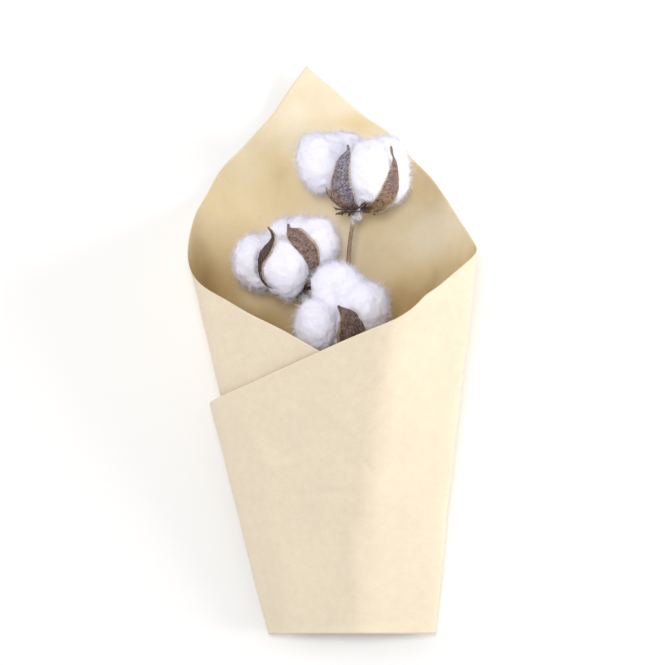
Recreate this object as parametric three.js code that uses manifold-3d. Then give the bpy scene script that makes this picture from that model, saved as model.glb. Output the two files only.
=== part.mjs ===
// A bunch of three cotton stems, each with one open boll, rolled in a sheet of kraft paper and laid on its back.
// Millimetres, +Z up. +Y runs from the cut stem ends to the paper's raised corner, and the front faces up.
import * as THREE from "three";
import { mergeVertices } from "three/addons/utils/BufferGeometryUtils.js";
import Module from "manifold-3d";

const wasm = await Module();
wasm.setup();

// The paper: one square sheet rolled into a slender cone, whose rulings meet at an apex below the trimmed foot.
const PAPER_THICK = 0.8;
const APEX = new THREE.Vector3(43.6, -530.4, 0);
const AXIS_LEAN_DEG = -4.5;
const CORNER_REACH = 711.6;
const RIGHT_EDGE_DEG = 43.92;
const LEFT_EDGE_DEG = 42.58;
const FOOT_Y = -202.6;
const FOOT_SLOPE = 0.145;
const FOOT_REACH = 340;
const MOUTH_REACH = 560;
const LAYER_STEP = 1.8;
const TIP_LIFT = 9;
const TIP_LIFT_REACH = 620;
const COLUMNS_LEFT_OF_CORNER = 42;
const COLUMNS_RIGHT_OF_CORNER = 52;
const PAPER_ROWS = 8;

// The section of the cone as degrees across and up, seen from the apex: flat back, right side, ridge, left side.
const MOUTH_SECTION = [
  [-7.35, 0], [-2.3, 0], [1.45, 0], [6.25, 0], [7.4, 2.6], [10.2, 7.2],
  [7.6, 6.35], [4.2, 12.5], [-1.4, 12.6], [-4.05, 10.1], [-9.8, 6.7], [-8.25, 1.1],
];
const FOOT_SECTION = [
  [-5.8, 0], [-2.2, 0], [2, 0], [5.5, 0], [8.25, 0.7], [9.45, 1.9],
  [5.95, 3.45], [-0.5, 4.9], [-2.9, 4.25], [-6.85, 3.65], [-9.5, 2.55], [-9.2, 0.85],
];
const LOOP = MOUTH_SECTION.length;

// Places round the section, in spans of its control points, from one edge of the sheet to the other.
const CORNER_SPAN = 1.5;
const INNER_TOP_SPAN = -5.4;
const INNER_FOOT_SPAN = -4.6;
const OUTER_SPAN = 10.76;
const LAP_START_SPAN = 4.1;
const LAP_FULL_SPAN = 5.6;
const RIDGE_SPAN = 6.92;
const RIGHT_SIDE_SPAN = 5.1;
const LEFT_SIDE_SPAN = 9.5;
const ROUNDING_SPAN = 0.25;
const FACET_SHARE = 0.85;
const LIFT_OFF_SHARE = 0.28;

// Where the sheet's uneven upper edges swell out or fall back: the span, how far, and over how wide a stretch of spans.
const EDGE_BOWS = [
  [-4.1, -4.2, 0.6], [-2.45, 2.2, 0.3], [0.2, 4.5, 0.32], [1, -2.2, 0.2], [2.55, 4, 0.24], [6.4, 1.8, 0.25],
];

// The lint, the bur and the stem of each boll.
const LINT_GAP = 0.5;
const LOCK_DETAIL = 3;
const TUFT_RELIEF = 0.045;
const VALVE_THICK = 1.2;
const VALVE_TIP_HALF = 0.6;
const VALVE_CUPPING = 0.3;
const CUP_RADIUS = 7;
const CUP_HEIGHT = 4.5;
const CUP_FOOT_SHARE = 0.55;
const CUP_WAIST_SHARE = 0.9;
const CUP_WAIST_HEIGHT = 1.6;
const CUP_RIM_SHARE = 0.7;
const SHREDS = 10;
const SHRED_THICK = 1;
const SHRED_RISE = 2.4;
const SHRED_ROOT_SHARE = 0.62;
const SHRED_REACH = [4, 8.5];
const SHRED_HALF_WIDTH = [1.6, 3];
const SHRED_DROP = [-1.5, 1.5];
const SHRED_TAPER = 0.75;
const JOIN_GAP = 0.3;
const KNOB_RADIUS = 3.4;
const KNOB_REACH = 3.6;
const STEM_TOP_RADIUS = 1.25;
const STEM_FOOT_RADIUS = 2.3;
const STEM_SIDES = 9;
const STEM_STEPS = 24;

// The points of each boll are measured from its base.
// Each lock is [x, y, z of its middle, half-width, half-height, half-depth, lean in degrees].
// Each valve is a midline from the base to the tip, the way it faces and its width.
const BOLLS = {
  top: {
    base: [16.2, 79.7, 26.6],
    axis: [-0.05, 1, 0.02],
    locks: [
      [-24, 32, 0, 13.8, 19, 16.5, 6],
      [-10.4, 39.2, -9, 15.6, 13.6, 14, 20],
      [7.4, 26, 12, 14, 19.8, 15, -4],
      [20.8, 27.8, -1, 13, 22.2, 15, 4],
      [2, 22, -8, 17, 17, 14, 0],
    ],
    valves: [
      { mid: [[-2, 1, 3], [-8, 5, 9], [-11, 15, 14], [-11, 25, 16], [-9, 35, 16], [-6.6, 44, 15]], face: [-0.35, 0, 1], width: 15 },
      { mid: [[3, 1, 3], [12, 5, 9], [21, 12, 14], [24.5, 22, 16], [24, 32, 16], [22.4, 43, 15]], face: [0.5, -0.1, 1], width: 13 },
      { mid: [[-3, 1, -2], [-14, 5, -9], [-22, 14, -14], [-25, 24, -15], [-22, 36, -15]], face: [-0.6, -0.2, -1], width: 14 },
      { mid: [[4, 1, -2], [12, 5, -10], [18, 14, -17], [20, 24, -18], [17, 38, -17]], face: [0.5, -0.2, -1], width: 14 },
    ],
    stem: [[-2.6, -7, -2], [-5.6, -31.6, -5], [-6.5, -80, -13], [-4.5, -140, -19], [-1, -200, -22.8], [0.6, -267, -23]],
  },
  left: {
    base: [-20.8, 26.1, 26],
    axis: [-0.457, 0.889, 0.05],
    locks: [
      [-28, 20, 1, 16, 18.6, 17, 10],
      [-10.2, 16.4, 13, 15, 19.4, 16, 8],
      [8.4, 32, 1, 15.6, 17.8, 16, -10],
      [-9.5, 37, -8, 12, 12.5, 13, 0],
      [-8, 22, -4, 17, 17, 16, 0],
    ],
    valves: [
      { mid: [[-2, 0, 3], [-14, 1, 9], [-25, 7, 14], [-29, 18, 18], [-24.5, 29, 21], [-17.5, 34.5, 21], [-20.5, 42.5, 20]], face: [-1, -0.15, 0.42], width: 10 },
      { mid: [[0.5, 2, 3.6], [5.5, 8, 10], [9, 17, 14], [7.2, 27, 18], [1.5, 35.5, 21], [-5, 41.5, 22], [-8.6, 46, 21]], face: [0.45, 0.2, 1], width: 15.5 },
      { mid: [[3, 2, 0], [10, 8, -6], [16, 20, -15], [16, 32, -15], [10, 42, -14]], face: [0.5, 0, -1], width: 13 },
      { mid: [[-4, 1, -3], [-18, 6, -11], [-28, 18, -17], [-28, 30, -15], [-22, 40, -13]], face: [-0.5, 0, -1], width: 13 },
    ],
    stem: [[3.6, -7, -1.6], [14, -42, -9], [22.5, -88, -17], [28.5, -146, -22.5], [32.3, -213, -22.8]],
  },
  low: {
    base: [8.8, -18, 45],
    axis: [-0.05, 0.95, 0.3],
    locks: [
      [-7.8, 50.4, 6, 14.8, 12.3, 13, 22],
      [-19, 23.4, 13.5, 13, 17.2, 14, -4],
      [11.4, 35, 13, 15.8, 15.6, 16, 12],
      [-1, 26, 3, 15, 18, 14, 0],
      [16, 16, 2, 12, 14, 12, -20],
    ],
    valves: [
      { mid: [[0, 1, 4], [2.5, 9, 14], [3.5, 18, 21.5], [0, 27.5, 25], [-5.5, 36, 26]], face: [0.05, -0.15, 1], width: 19 },
      { mid: [[-4, 1, 0], [-16, 3, 3], [-27, 12, 6], [-31, 24, 8], [-28, 36, 8]], face: [-1, -0.3, 0.1], width: 14 },
      { mid: [[4, 1, 0], [14, 2, 2], [23, 8, 3], [26, 20, 4], [24, 32, 3]], face: [1, -0.3, 0.1], width: 14 },
      { mid: [[0, 2, -3], [-1, 8, -10], [-2, 20, -13], [-3, 32, -12], [-4, 44, -10]], face: [0, -0.2, -1], width: 14 },
    ],
    stem: [[1.2, -9, -3.2], [7, -50, -17], [11.6, -100, -34], [13, -132, -41.5], [13.6, -162, -41.8]],
  },
};

const COLOURS = { paper: "#d9c6a2", lint: "#fbfbff", bur: "#6e5a54", stem: "#8f7660" };
const MATERIALS = {
  paper: new THREE.MeshStandardMaterial({ color: COLOURS.paper, roughness: 0.85, metalness: 0 }),
  lint: new THREE.MeshStandardMaterial({ color: COLOURS.lint, roughness: 1, metalness: 0 }),
  bur: new THREE.MeshStandardMaterial({ color: COLOURS.bur, roughness: 0.9, metalness: 0 }),
  stem: new THREE.MeshStandardMaterial({ color: COLOURS.stem, roughness: 0.9, metalness: 0 }),
};

const clamp01 = (x) => THREE.MathUtils.clamp(x, 0, 1);
const vec = (p) => new THREE.Vector3(...p);

// A seeded random number generator, so that each build is the same.
function randomFrom(seed) {
  let state = seed;
  return () => {
    state = (state * 1664525 + 1013904223) % 4294967296;
    return state / 4294967296;
  };
}

// Turns a closed geometry into a solid for cutting and joining.
function solid(geometry) {
  const bare = new THREE.BufferGeometry().setAttribute("position", geometry.getAttribute("position"));
  if (geometry.index) bare.setIndex(geometry.index);
  const merged = mergeVertices(bare, 1e-4);
  return new wasm.Manifold(
    new wasm.Mesh({
      numProp: 3,
      vertProperties: merged.attributes.position.array,
      triVerts: new Uint32Array(merged.index.array),
    }),
  );
}

// Turns a solid back into a geometry.
function geometryOf(body) {
  const mesh = body.getMesh();
  const geometry = new THREE.BufferGeometry();
  geometry.setAttribute("position", new THREE.BufferAttribute(mesh.vertProperties, 3));
  geometry.setIndex(new THREE.BufferAttribute(mesh.triVerts, 1));
  geometry.computeVertexNormals();
  return geometry;
}

// The largest body of a solid, without the scraps that a cut leaves.
function largestBody(body) {
  return body.decompose().reduce((best, piece) => (piece.volume() > best.volume() ? piece : best));
}

// Bends a flat grid into a thin closed sheet. place(u, v, side) gives a point of its front, side 1, or back, side -1.
function sheetGeometry(columns, rows, place) {
  const grid = new THREE.PlaneGeometry(1, 1, columns, rows);
  const uv = grid.getAttribute("uv");
  const count = uv.count;
  const positions = [];
  for (const side of [1, -1]) {
    for (let i = 0; i < count; i++) positions.push(...place(uv.getX(i), uv.getY(i), side).toArray());
  }
  const faces = grid.index.array;
  const index = [...faces];
  for (let i = 0; i < faces.length; i += 3) {
    index.push(count + faces[i], count + faces[i + 2], count + faces[i + 1]);
  }
  const across = columns + 1;
  const border = [];
  for (let x = 0; x < columns; x++) border.push(x);
  for (let y = 0; y < rows; y++) border.push(columns + y * across);
  for (let x = columns; x > 0; x--) border.push(x + rows * across);
  for (let y = rows; y > 0; y--) border.push(y * across);
  border.forEach((from, i) => {
    const to = border[(i + 1) % border.length];
    index.push(from, to, count + to, from, count + to, count + from);
  });
  const geometry = new THREE.BufferGeometry();
  geometry.setAttribute("position", new THREE.Float32BufferAttribute(positions, 3));
  geometry.setIndex(index);
  return geometry;
}

// A point of a closed uniform cubic B-spline, in degrees across and up.
function splinePoint(points, span) {
  const whole = Math.floor(span);
  const u = span - whole;
  const weights = [
    (1 - u) ** 3 / 6,
    (3 * u ** 3 - 6 * u ** 2 + 4) / 6,
    (-3 * u ** 3 + 3 * u ** 2 + 3 * u + 1) / 6,
    u ** 3 / 6,
  ];
  const sum = new THREE.Vector2();
  weights.forEach((weight, k) => {
    const [across, up] = points[(((whole + k - 1) % LOOP) + LOOP) % LOOP];
    sum.x += weight * across;
    sum.y += weight * up;
  });
  return sum;
}

// The section at a reach from the apex, with a sharp ridge. The front is nearly straight from the ridge to each side,
// and the outer flap runs nearly straight on past the left side.
function sharpSection(span, reach) {
  const share = clamp01((reach - FOOT_REACH) / (MOUTH_REACH - FOOT_REACH));
  const at = (s) => splinePoint(FOOT_SECTION, s).lerp(splinePoint(MOUTH_SECTION, s), share);
  const place = span < 0 ? span + LOOP : span;
  if (place <= RIGHT_SIDE_SPAN || (place >= LEFT_SIDE_SPAN && span < 0)) return at(span);
  const side = place < RIDGE_SPAN ? RIGHT_SIDE_SPAN : LEFT_SIDE_SPAN;
  const straight = at(RIDGE_SPAN).lerp(at(side), (place - RIDGE_SPAN) / (side - RIDGE_SPAN));
  return at(span).lerp(straight, place > LEFT_SIDE_SPAN ? LIFT_OFF_SHARE : FACET_SHARE);
}

// The same section with its ridge and sides rounded, by taking the mean of near places.
function sectionPoint(span, reach) {
  const steps = [-1, -0.5, 0, 0.5, 1];
  const sum = new THREE.Vector2();
  steps.forEach((step) => sum.add(sharpSection(span + step * ROUNDING_SPAN, reach)));
  return sum.divideScalar(steps.length);
}

// The middle of the paper, before its thickness.
function paperMiddle(span, reach) {
  const section = sectionPoint(span, reach);
  const across = THREE.MathUtils.degToRad(AXIS_LEAN_DEG + section.x);
  const up = THREE.MathUtils.degToRad(section.y);
  const lift = TIP_LIFT * clamp01((reach - TIP_LIFT_REACH) / (CORNER_REACH - TIP_LIFT_REACH)) ** 2;
  return new THREE.Vector3(
    reach * Math.sin(across) * Math.cos(up),
    reach * Math.cos(across) * Math.cos(up),
    reach * Math.sin(up) + lift,
  ).add(APEX);
}

// How far round the flat sheet, in degrees at the apex, each span lies from the raised corner.
const turnTable = (() => {
  const step = 0.02;
  const table = [];
  let turn = 0;
  let last = null;
  for (let span = INNER_TOP_SPAN - 1; span <= OUTER_SPAN + 1; span += step) {
    const point = sectionPoint(span, MOUTH_REACH);
    if (last) turn += point.distanceTo(last);
    table.push([span, turn]);
    last = point;
  }
  return table;
})();

function rawTurn(span) {
  const after = Math.max(1, turnTable.findIndex(([s]) => s >= span));
  const [s0, t0] = turnTable[after - 1];
  const [s1, t1] = turnTable[after];
  return THREE.MathUtils.mapLinear(span, s0, s1, t0, t1);
}

// The sheet's two upper edges, which meet at the raised corner, and its trimmed foot.
function topReach(span) {
  const turn = rawTurn(span) - rawTurn(CORNER_SPAN);
  const edge = THREE.MathUtils.degToRad(turn >= 0 ? RIGHT_EDGE_DEG : LEFT_EDGE_DEG);
  const aside = THREE.MathUtils.degToRad(Math.abs(turn)) - (Math.PI / 2 - edge);
  const bows = EDGE_BOWS.map(([middle, height, width]) => height * Math.exp(-(((span - middle) / width) ** 2)));
  return (CORNER_REACH * Math.sin(edge)) / Math.cos(aside) + bows.reduce((sum, bow) => sum + bow);
}

function footReach(span) {
  const section = sectionPoint(span, FOOT_REACH);
  const across = THREE.MathUtils.degToRad(AXIS_LEAN_DEG + section.x);
  const up = THREE.MathUtils.degToRad(section.y);
  return (FOOT_Y - APEX.y) / (Math.cos(across) * Math.cos(up) - FOOT_SLOPE * Math.sin(up));
}

// A point on the paper's inside, side 1, or outside, side -1. Where the sheet laps itself the outer layer steps out.
function paperPoint(u, v, side) {
  const start = THREE.MathUtils.lerp(INNER_FOOT_SPAN, INNER_TOP_SPAN, v);
  const column = u * (COLUMNS_LEFT_OF_CORNER + COLUMNS_RIGHT_OF_CORNER) - COLUMNS_LEFT_OF_CORNER;
  const span =
    column < 0
      ? THREE.MathUtils.lerp(CORNER_SPAN, start, -column / COLUMNS_LEFT_OF_CORNER)
      : THREE.MathUtils.lerp(CORNER_SPAN, OUTER_SPAN, column / COLUMNS_RIGHT_OF_CORNER);
  const reach = THREE.MathUtils.lerp(footReach(span), topReach(span), v);
  const small = 0.02;
  const along = paperMiddle(span, reach + 1).sub(paperMiddle(span, reach - 1));
  const round = paperMiddle(span + small, reach).sub(paperMiddle(span - small, reach));
  const outward = along.cross(round).normalize();
  const lap = THREE.MathUtils.smoothstep(span, LAP_START_SPAN, LAP_FULL_SPAN) * LAYER_STEP;
  return paperMiddle(span, reach).addScaledVector(outward, lap - (side * PAPER_THICK) / 2);
}

function paperWrap() {
  return sheetGeometry(COLUMNS_LEFT_OF_CORNER + COLUMNS_RIGHT_OF_CORNER, PAPER_ROWS, paperPoint);
}

// One lock of lint: a ball drawn out to its size, with shallow tufts raised by a formula.
function lock([x, y, z, width, height, depth, lean], phase) {
  const geometry = new THREE.IcosahedronGeometry(1, LOCK_DETAIL);
  const position = geometry.getAttribute("position");
  const point = new THREE.Vector3();
  for (let i = 0; i < position.count; i++) {
    point.fromBufferAttribute(position, i).normalize();
    const tufts =
      Math.sin(5 * point.x + phase) * Math.cos(4 * point.y - phase) +
      Math.sin(7 * point.z + 3 * point.x + 2 * phase) * 0.6;
    point.multiplyScalar(1 + TUFT_RELIEF * tufts);
    position.setXYZ(i, point.x * width, point.y * height, point.z * depth);
  }
  geometry.rotateZ(THREE.MathUtils.degToRad(lean));
  geometry.translate(x, y, z);
  return solid(geometry);
}

// One valve of the dried bur: a cupped, pointed blade along its midline. grow makes it bigger all round.
function valve({ mid, face, width }, grow = 0) {
  const line = new THREE.CatmullRomCurve3(mid.map(vec));
  const outward = vec(face).normalize();
  return solid(
    sheetGeometry(4, 8, (u, v, side) => {
      const middle = line.getPoint(v);
      const along = line.getTangent(v);
      const normal = outward.clone().addScaledVector(along, -outward.dot(along)).normalize();
      const across = along.clone().cross(normal);
      const profile = Math.sin(Math.PI * v ** 0.8) ** 0.75 + 0.3 * (1 - v) ** 2;
      const half = Math.max(VALVE_TIP_HALF, (width / 2) * profile) + grow;
      const offset = 2 * u - 1;
      return middle
        .addScaledVector(across, offset * half)
        .addScaledVector(normal, -VALVE_CUPPING * offset ** 2 * half + side * (VALVE_THICK / 2 + grow))
        .addScaledVector(along, grow * (2 * v - 1));
    }),
  );
}

// The turn that takes +Y to the boll's axis.
function axisTurn(axis) {
  return new THREE.Quaternion().setFromUnitVectors(new THREE.Vector3(0, 1, 0), vec(axis).normalize());
}

// The shallow cup that the valves grow from.
function cup(axis, grow = 0) {
  const profile = [
    [0, -grow],
    [CUP_RADIUS * CUP_FOOT_SHARE + grow, -grow],
    [CUP_RADIUS * CUP_WAIST_SHARE + grow, CUP_WAIST_HEIGHT],
    [CUP_RADIUS + grow, CUP_HEIGHT],
    [CUP_RADIUS * CUP_RIM_SHARE, CUP_HEIGHT + grow],
    [0, CUP_HEIGHT + grow],
  ].map(([r, h]) => new THREE.Vector2(r, h));
  return solid(new THREE.LatheGeometry(profile, 12).applyQuaternion(axisTurn(axis)));
}

// The torn, dried bracts round the cup: short ragged blades that point out and down.
function shreds(axis, seed, grow = 0) {
  const random = randomFrom(seed);
  const turn = axisTurn(axis);
  return Array.from({ length: SHREDS }, (_, i) => {
    const angle = ((i + 0.6 * random()) / SHREDS) * Math.PI * 2;
    const outward = new THREE.Vector3(Math.cos(angle), 0, Math.sin(angle));
    const side = new THREE.Vector3(-Math.sin(angle), 0, Math.cos(angle));
    const reach = THREE.MathUtils.lerp(...SHRED_REACH, random());
    const drop = THREE.MathUtils.lerp(...SHRED_DROP, random());
    const width = THREE.MathUtils.lerp(...SHRED_HALF_WIDTH, random());
    const twist = random() - 0.5;
    const geometry = sheetGeometry(1, 2, (u, v, face) => {
      const half = width * (1 - SHRED_TAPER * v) + grow;
      return outward
        .clone()
        .multiplyScalar(CUP_RADIUS * SHRED_ROOT_SHARE + reach * v + grow * v)
        .addScaledVector(side, (2 * u - 1) * half)
        .setY(SHRED_RISE - drop * v * v + face * (SHRED_THICK / 2 + grow) + twist * (2 * u - 1) * half * v);
    });
    return solid(geometry.applyQuaternion(turn));
  });
}

// The bur: valves, cup and bracts grown together.
function burOf({ axis, valves }, seed, grow = 0) {
  const grown = [...valves.map((one) => valve(one, grow)), cup(axis, grow), ...shreds(axis, seed, grow)];
  return wasm.Manifold.union(grown);
}

// The lint: its locks run together at the heart of the boll, and lie clear of the bur.
function lintOf(boll, seed) {
  const locks = boll.locks.map((one, i) => lock(one, seed + 1.7 * i));
  return largestBody(wasm.Manifold.union(locks).subtract(burOf(boll, seed, LINT_GAP)));
}

// A stem: thick at the cut end, slender under the boll, with a swollen knob at the top.
function stemGeometry({ axis, stem }) {
  const neck = vec(axis).normalize();
  const start = [JOIN_GAP, KNOB_RADIUS].map((reach) => neck.clone().multiplyScalar(-reach));
  const line = new THREE.CatmullRomCurve3([...start, ...stem.map(vec)]);
  const length = line.getLength();
  const geometry = new THREE.CylinderGeometry(1, 1, 1, STEM_SIDES, STEM_STEPS);
  const position = geometry.getAttribute("position");
  for (let i = 0; i < position.count; i++) {
    const even = 0.5 - position.getY(i);
    const down = even ** 1.6;
    const along = down * length;
    const tangent = line.getTangentAt(down);
    const across = new THREE.Vector3(1, 0, 0).addScaledVector(tangent, -tangent.x).normalize();
    const up = tangent.clone().cross(across);
    const knob = (KNOB_RADIUS - STEM_TOP_RADIUS) * Math.exp(-(((along - KNOB_REACH) / KNOB_REACH) ** 2));
    const radius = THREE.MathUtils.lerp(STEM_TOP_RADIUS, STEM_FOOT_RADIUS, Math.min(1, down * 1.25)) + knob;
    const point = line
      .getPointAt(down)
      .addScaledVector(across, position.getX(i) * radius)
      .addScaledVector(up, position.getZ(i) * radius);
    position.setXYZ(i, point.x, point.y, point.z);
  }
  return geometry;
}

// Places a geometry, measured from the boll's base, as a named mesh.
function meshAt(name, geometry, material, base = [0, 0, 0]) {
  const mesh = new THREE.Mesh(geometry, material);
  mesh.name = name;
  mesh.position.set(...base);
  return mesh;
}

const bunch = new THREE.Group();
bunch.add(meshAt("paper_wrap", paperWrap(), MATERIALS.paper));
Object.entries(BOLLS).forEach(([name, boll], i) => {
  const seed = 11 + 7 * i;
  bunch.add(meshAt("lint_" + name, geometryOf(lintOf(boll, seed)), MATERIALS.lint, boll.base));
  bunch.add(meshAt("bur_" + name, geometryOf(burOf(boll, seed)), MATERIALS.bur, boll.base));
  bunch.add(meshAt("stem_" + name, stemGeometry(boll), MATERIALS.stem, boll.base));
});

// The origin is the middle of the surface that the bunch lies on.
const extent = new THREE.Box3().setFromObject(bunch, true);
const middle = extent.getCenter(new THREE.Vector3());
bunch.position.set(-middle.x, -middle.y, -extent.min.z);

export default bunch;
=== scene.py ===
"""A bunch of cotton stems in kraft paper: the rolled sheet, lint, dried burs and stems on a pale floor."""

import math

import bmesh
import bpy
import numpy as np
from bpy.props import FloatProperty, FloatVectorProperty, IntProperty, PointerProperty
from mathutils import Matrix, Vector, noise
from mathutils.bvhtree import BVHTree


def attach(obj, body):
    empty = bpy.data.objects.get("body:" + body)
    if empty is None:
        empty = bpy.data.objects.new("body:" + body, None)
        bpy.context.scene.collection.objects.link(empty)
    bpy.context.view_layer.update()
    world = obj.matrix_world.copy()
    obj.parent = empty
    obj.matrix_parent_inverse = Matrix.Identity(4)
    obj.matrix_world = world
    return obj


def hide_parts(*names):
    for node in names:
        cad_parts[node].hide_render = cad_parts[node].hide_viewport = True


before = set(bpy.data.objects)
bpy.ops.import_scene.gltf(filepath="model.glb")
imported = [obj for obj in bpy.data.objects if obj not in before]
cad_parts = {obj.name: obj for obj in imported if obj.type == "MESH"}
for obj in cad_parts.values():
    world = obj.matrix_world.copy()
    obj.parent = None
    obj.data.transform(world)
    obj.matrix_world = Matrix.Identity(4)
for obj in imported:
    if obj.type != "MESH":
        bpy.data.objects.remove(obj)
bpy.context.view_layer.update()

bl_info = {
    "name": "Cotton Stem Bunch",
    "version": (1, 0, 0),
    "blender": (4, 5, 0),
    "location": "3D View > Sidebar > Cotton",
    "description": "Builds the paper, lint, burs and stems of a wrapped bunch of cotton stems",
    "category": "Object",
}

# Sizes in this file are millimetres, measured from the middle of the view, unless a name says otherwise.
MM = 0.001
VIEW_MIDDLE = Vector((1.085, 12.0, 0.4))

# The camera stands straight above the bunch, and its frame is this wide at the height where the bolls lie.
CAMERA_HEIGHT = 1400.0
FRAMED_WIDTH = 432.25
FRAMED_DISTANCE = 1350.0
SENSOR_WIDTH = 36.0

# The sheet of paper, rolled into a slender cone whose rulings meet at an apex below the trimmed foot.
# A reach is measured from that apex. A span counts the points of the section, in degrees across and up.
APEX = np.array([43.6, -530.4, 0.0])
AXIS_LEAN = math.radians(-4.5)
CORNER_REACH = 711.6
RIGHT_EDGE = math.radians(43.92)
LEFT_EDGE = math.radians(42.58)
FOOT_Y = -202.6
FOOT_SLOPE = 0.145
FOOT_REACH = 340.0
MOUTH_REACH = 560.0
LAYER_STEP = 1.8
TIP_LIFT = 9.0
TIP_LIFT_REACH = 620.0
MOUTH_SECTION = np.array([
    [-7.35, 0], [-2.3, 0], [1.45, 0], [6.25, 0], [7.4, 2.6], [10.2, 7.2],
    [7.6, 6.35], [4.2, 12.5], [-1.4, 12.6], [-4.05, 10.1], [-9.8, 6.7], [-8.25, 1.1],
])
FOOT_SECTION = np.array([
    [-5.8, 0], [-2.2, 0], [2, 0], [5.5, 0], [8.25, 0.7], [9.45, 1.9],
    [5.95, 3.45], [-0.5, 4.9], [-2.9, 4.25], [-6.85, 3.65], [-9.5, 2.55], [-9.2, 0.85],
])
LOOP = len(MOUTH_SECTION)
CORNER_SPAN = 1.5
INNER_TOP_SPAN = -5.4
INNER_FOOT_SPAN = -4.6
OUTER_SPAN = 10.76
LAP_START_SPAN = 4.1
LAP_FULL_SPAN = 5.6
RIDGE_SPAN = 6.92
RIGHT_SIDE_SPAN = 5.1
LEFT_SIDE_SPAN = 9.5
ROUNDING_SPAN = 0.25
FACET_SHARE = 0.85
LIFT_OFF_SHARE = 0.28
# Uneven places on the sheet's two upper edges: span, height and width in spans.
EDGE_BOWS = [
    (-4.1, -4.2, 0.6), (-2.45, 2.2, 0.3), (0.2, 4.5, 0.32), (1, -2.2, 0.2), (2.55, 4, 0.24),
    (6.4, 1.8, 0.25),
]
# Dents and soft folds on the front: middle, half-length, half-width, direction in degrees and height.
FRONT_DENTS = [
    (-27, -15, 9, 3, 98, 0.7), (36, 3, 8, 2.2, 65, 0.7), (35, -18, 16, 6, 76, 0.9),
    (28, -19, 3, 1, 60, 0.5), (-52, -66, 24, 5, -62, 0.8), (-6, -104, 20, 3, 4, -0.5),
    (22, -85, 6, 1.5, -50, -0.45), (63, -97, 8, 1.2, 6, 0.4), (79, -3, 7, 1.2, -12, 0.35),
    (22, -108, 13, 7, 60, 0.9), (18, -166, 8, 6, 20, 0.8), (33, -146, 14, 2, 40, 0.4),
    (-32, -40, 20, 4, 30, 0.35), (4, -55, 18, 5, -40, 0.35), (-24, -84, 22, 5, 20, 0.4),
    (55, -60, 22, 6, 70, 0.4), (12.5, -152, 36, 6, 91, 1.0), (60, -130, 20, 6, -60, 0.45),
    (-20, -170, 16, 5, -20, 0.35), (50, -30, 14, 4, -45, 0.3),
]
# The back lies flat up to the first pair of heights, and the dents come in between the second.
BACK_HEIGHTS = (0.5, 8)
FRONT_HEIGHTS = (20, 45)
# Layers of slow waves in the sheet: share, shift of the noise and size.
PAPER_WAVES = [(1, 0, 62), (0.45, 300, 27), (0.16, -200, 10)]
CREASES = 64
CREASE_SEED = 5
CREASE_BOW = 0.002
PAPER_COLUMNS_LEFT = 115
PAPER_COLUMNS_RIGHT = 180
PAPER_ROWS = 165
CAD_PAPER_THICK = 0.8
# Painted shadows and painted light on the inner side: darker patches where shadows fall beside the bolls
# and under the tip's rim, lighter ones that lift the shade under the bolls and on the right wall. Each has
# its middle, half-width, half-length and how much darker.
PAINTED_INSIDE_SHADE_AND_LIGHT = [
    (14, 141, 13, 8, 0.38), (-36, 110, 12, 15, 0.27), (-78, 48, 13, 17, 0.1), (60, 101, 13, 17, 0.24),
    (0, 78, 16, 13, -0.22), (72, 60, 26, 30, -0.42), (42, 27, 14, 12, 0.1), (-26, 147, 10, 9, -0.12),
    (10, 60, 13, 13, -0.38), (-49, 22, 13, 10, -0.3),
]
# Seen from above, the front rim runs as a wide V from this low point, rising this much to each side.
MOUTH_FOOT = (-8, -11)
MOUTH_SLOPE = 0.65
# The inner side's tone, and how much painted shade darkens and warms it far down the cone and close under
# the front rim.
INSIDE_TONE = 0.12
DEEP_SHADE = 0.33
RIM_SHADE = 0.45
# Each fades out between these heights above the front rim.
DEEP_SHADE_HEIGHTS = (60, 170)
RIM_SHADE_HEIGHTS = (-5, 26)

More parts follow.
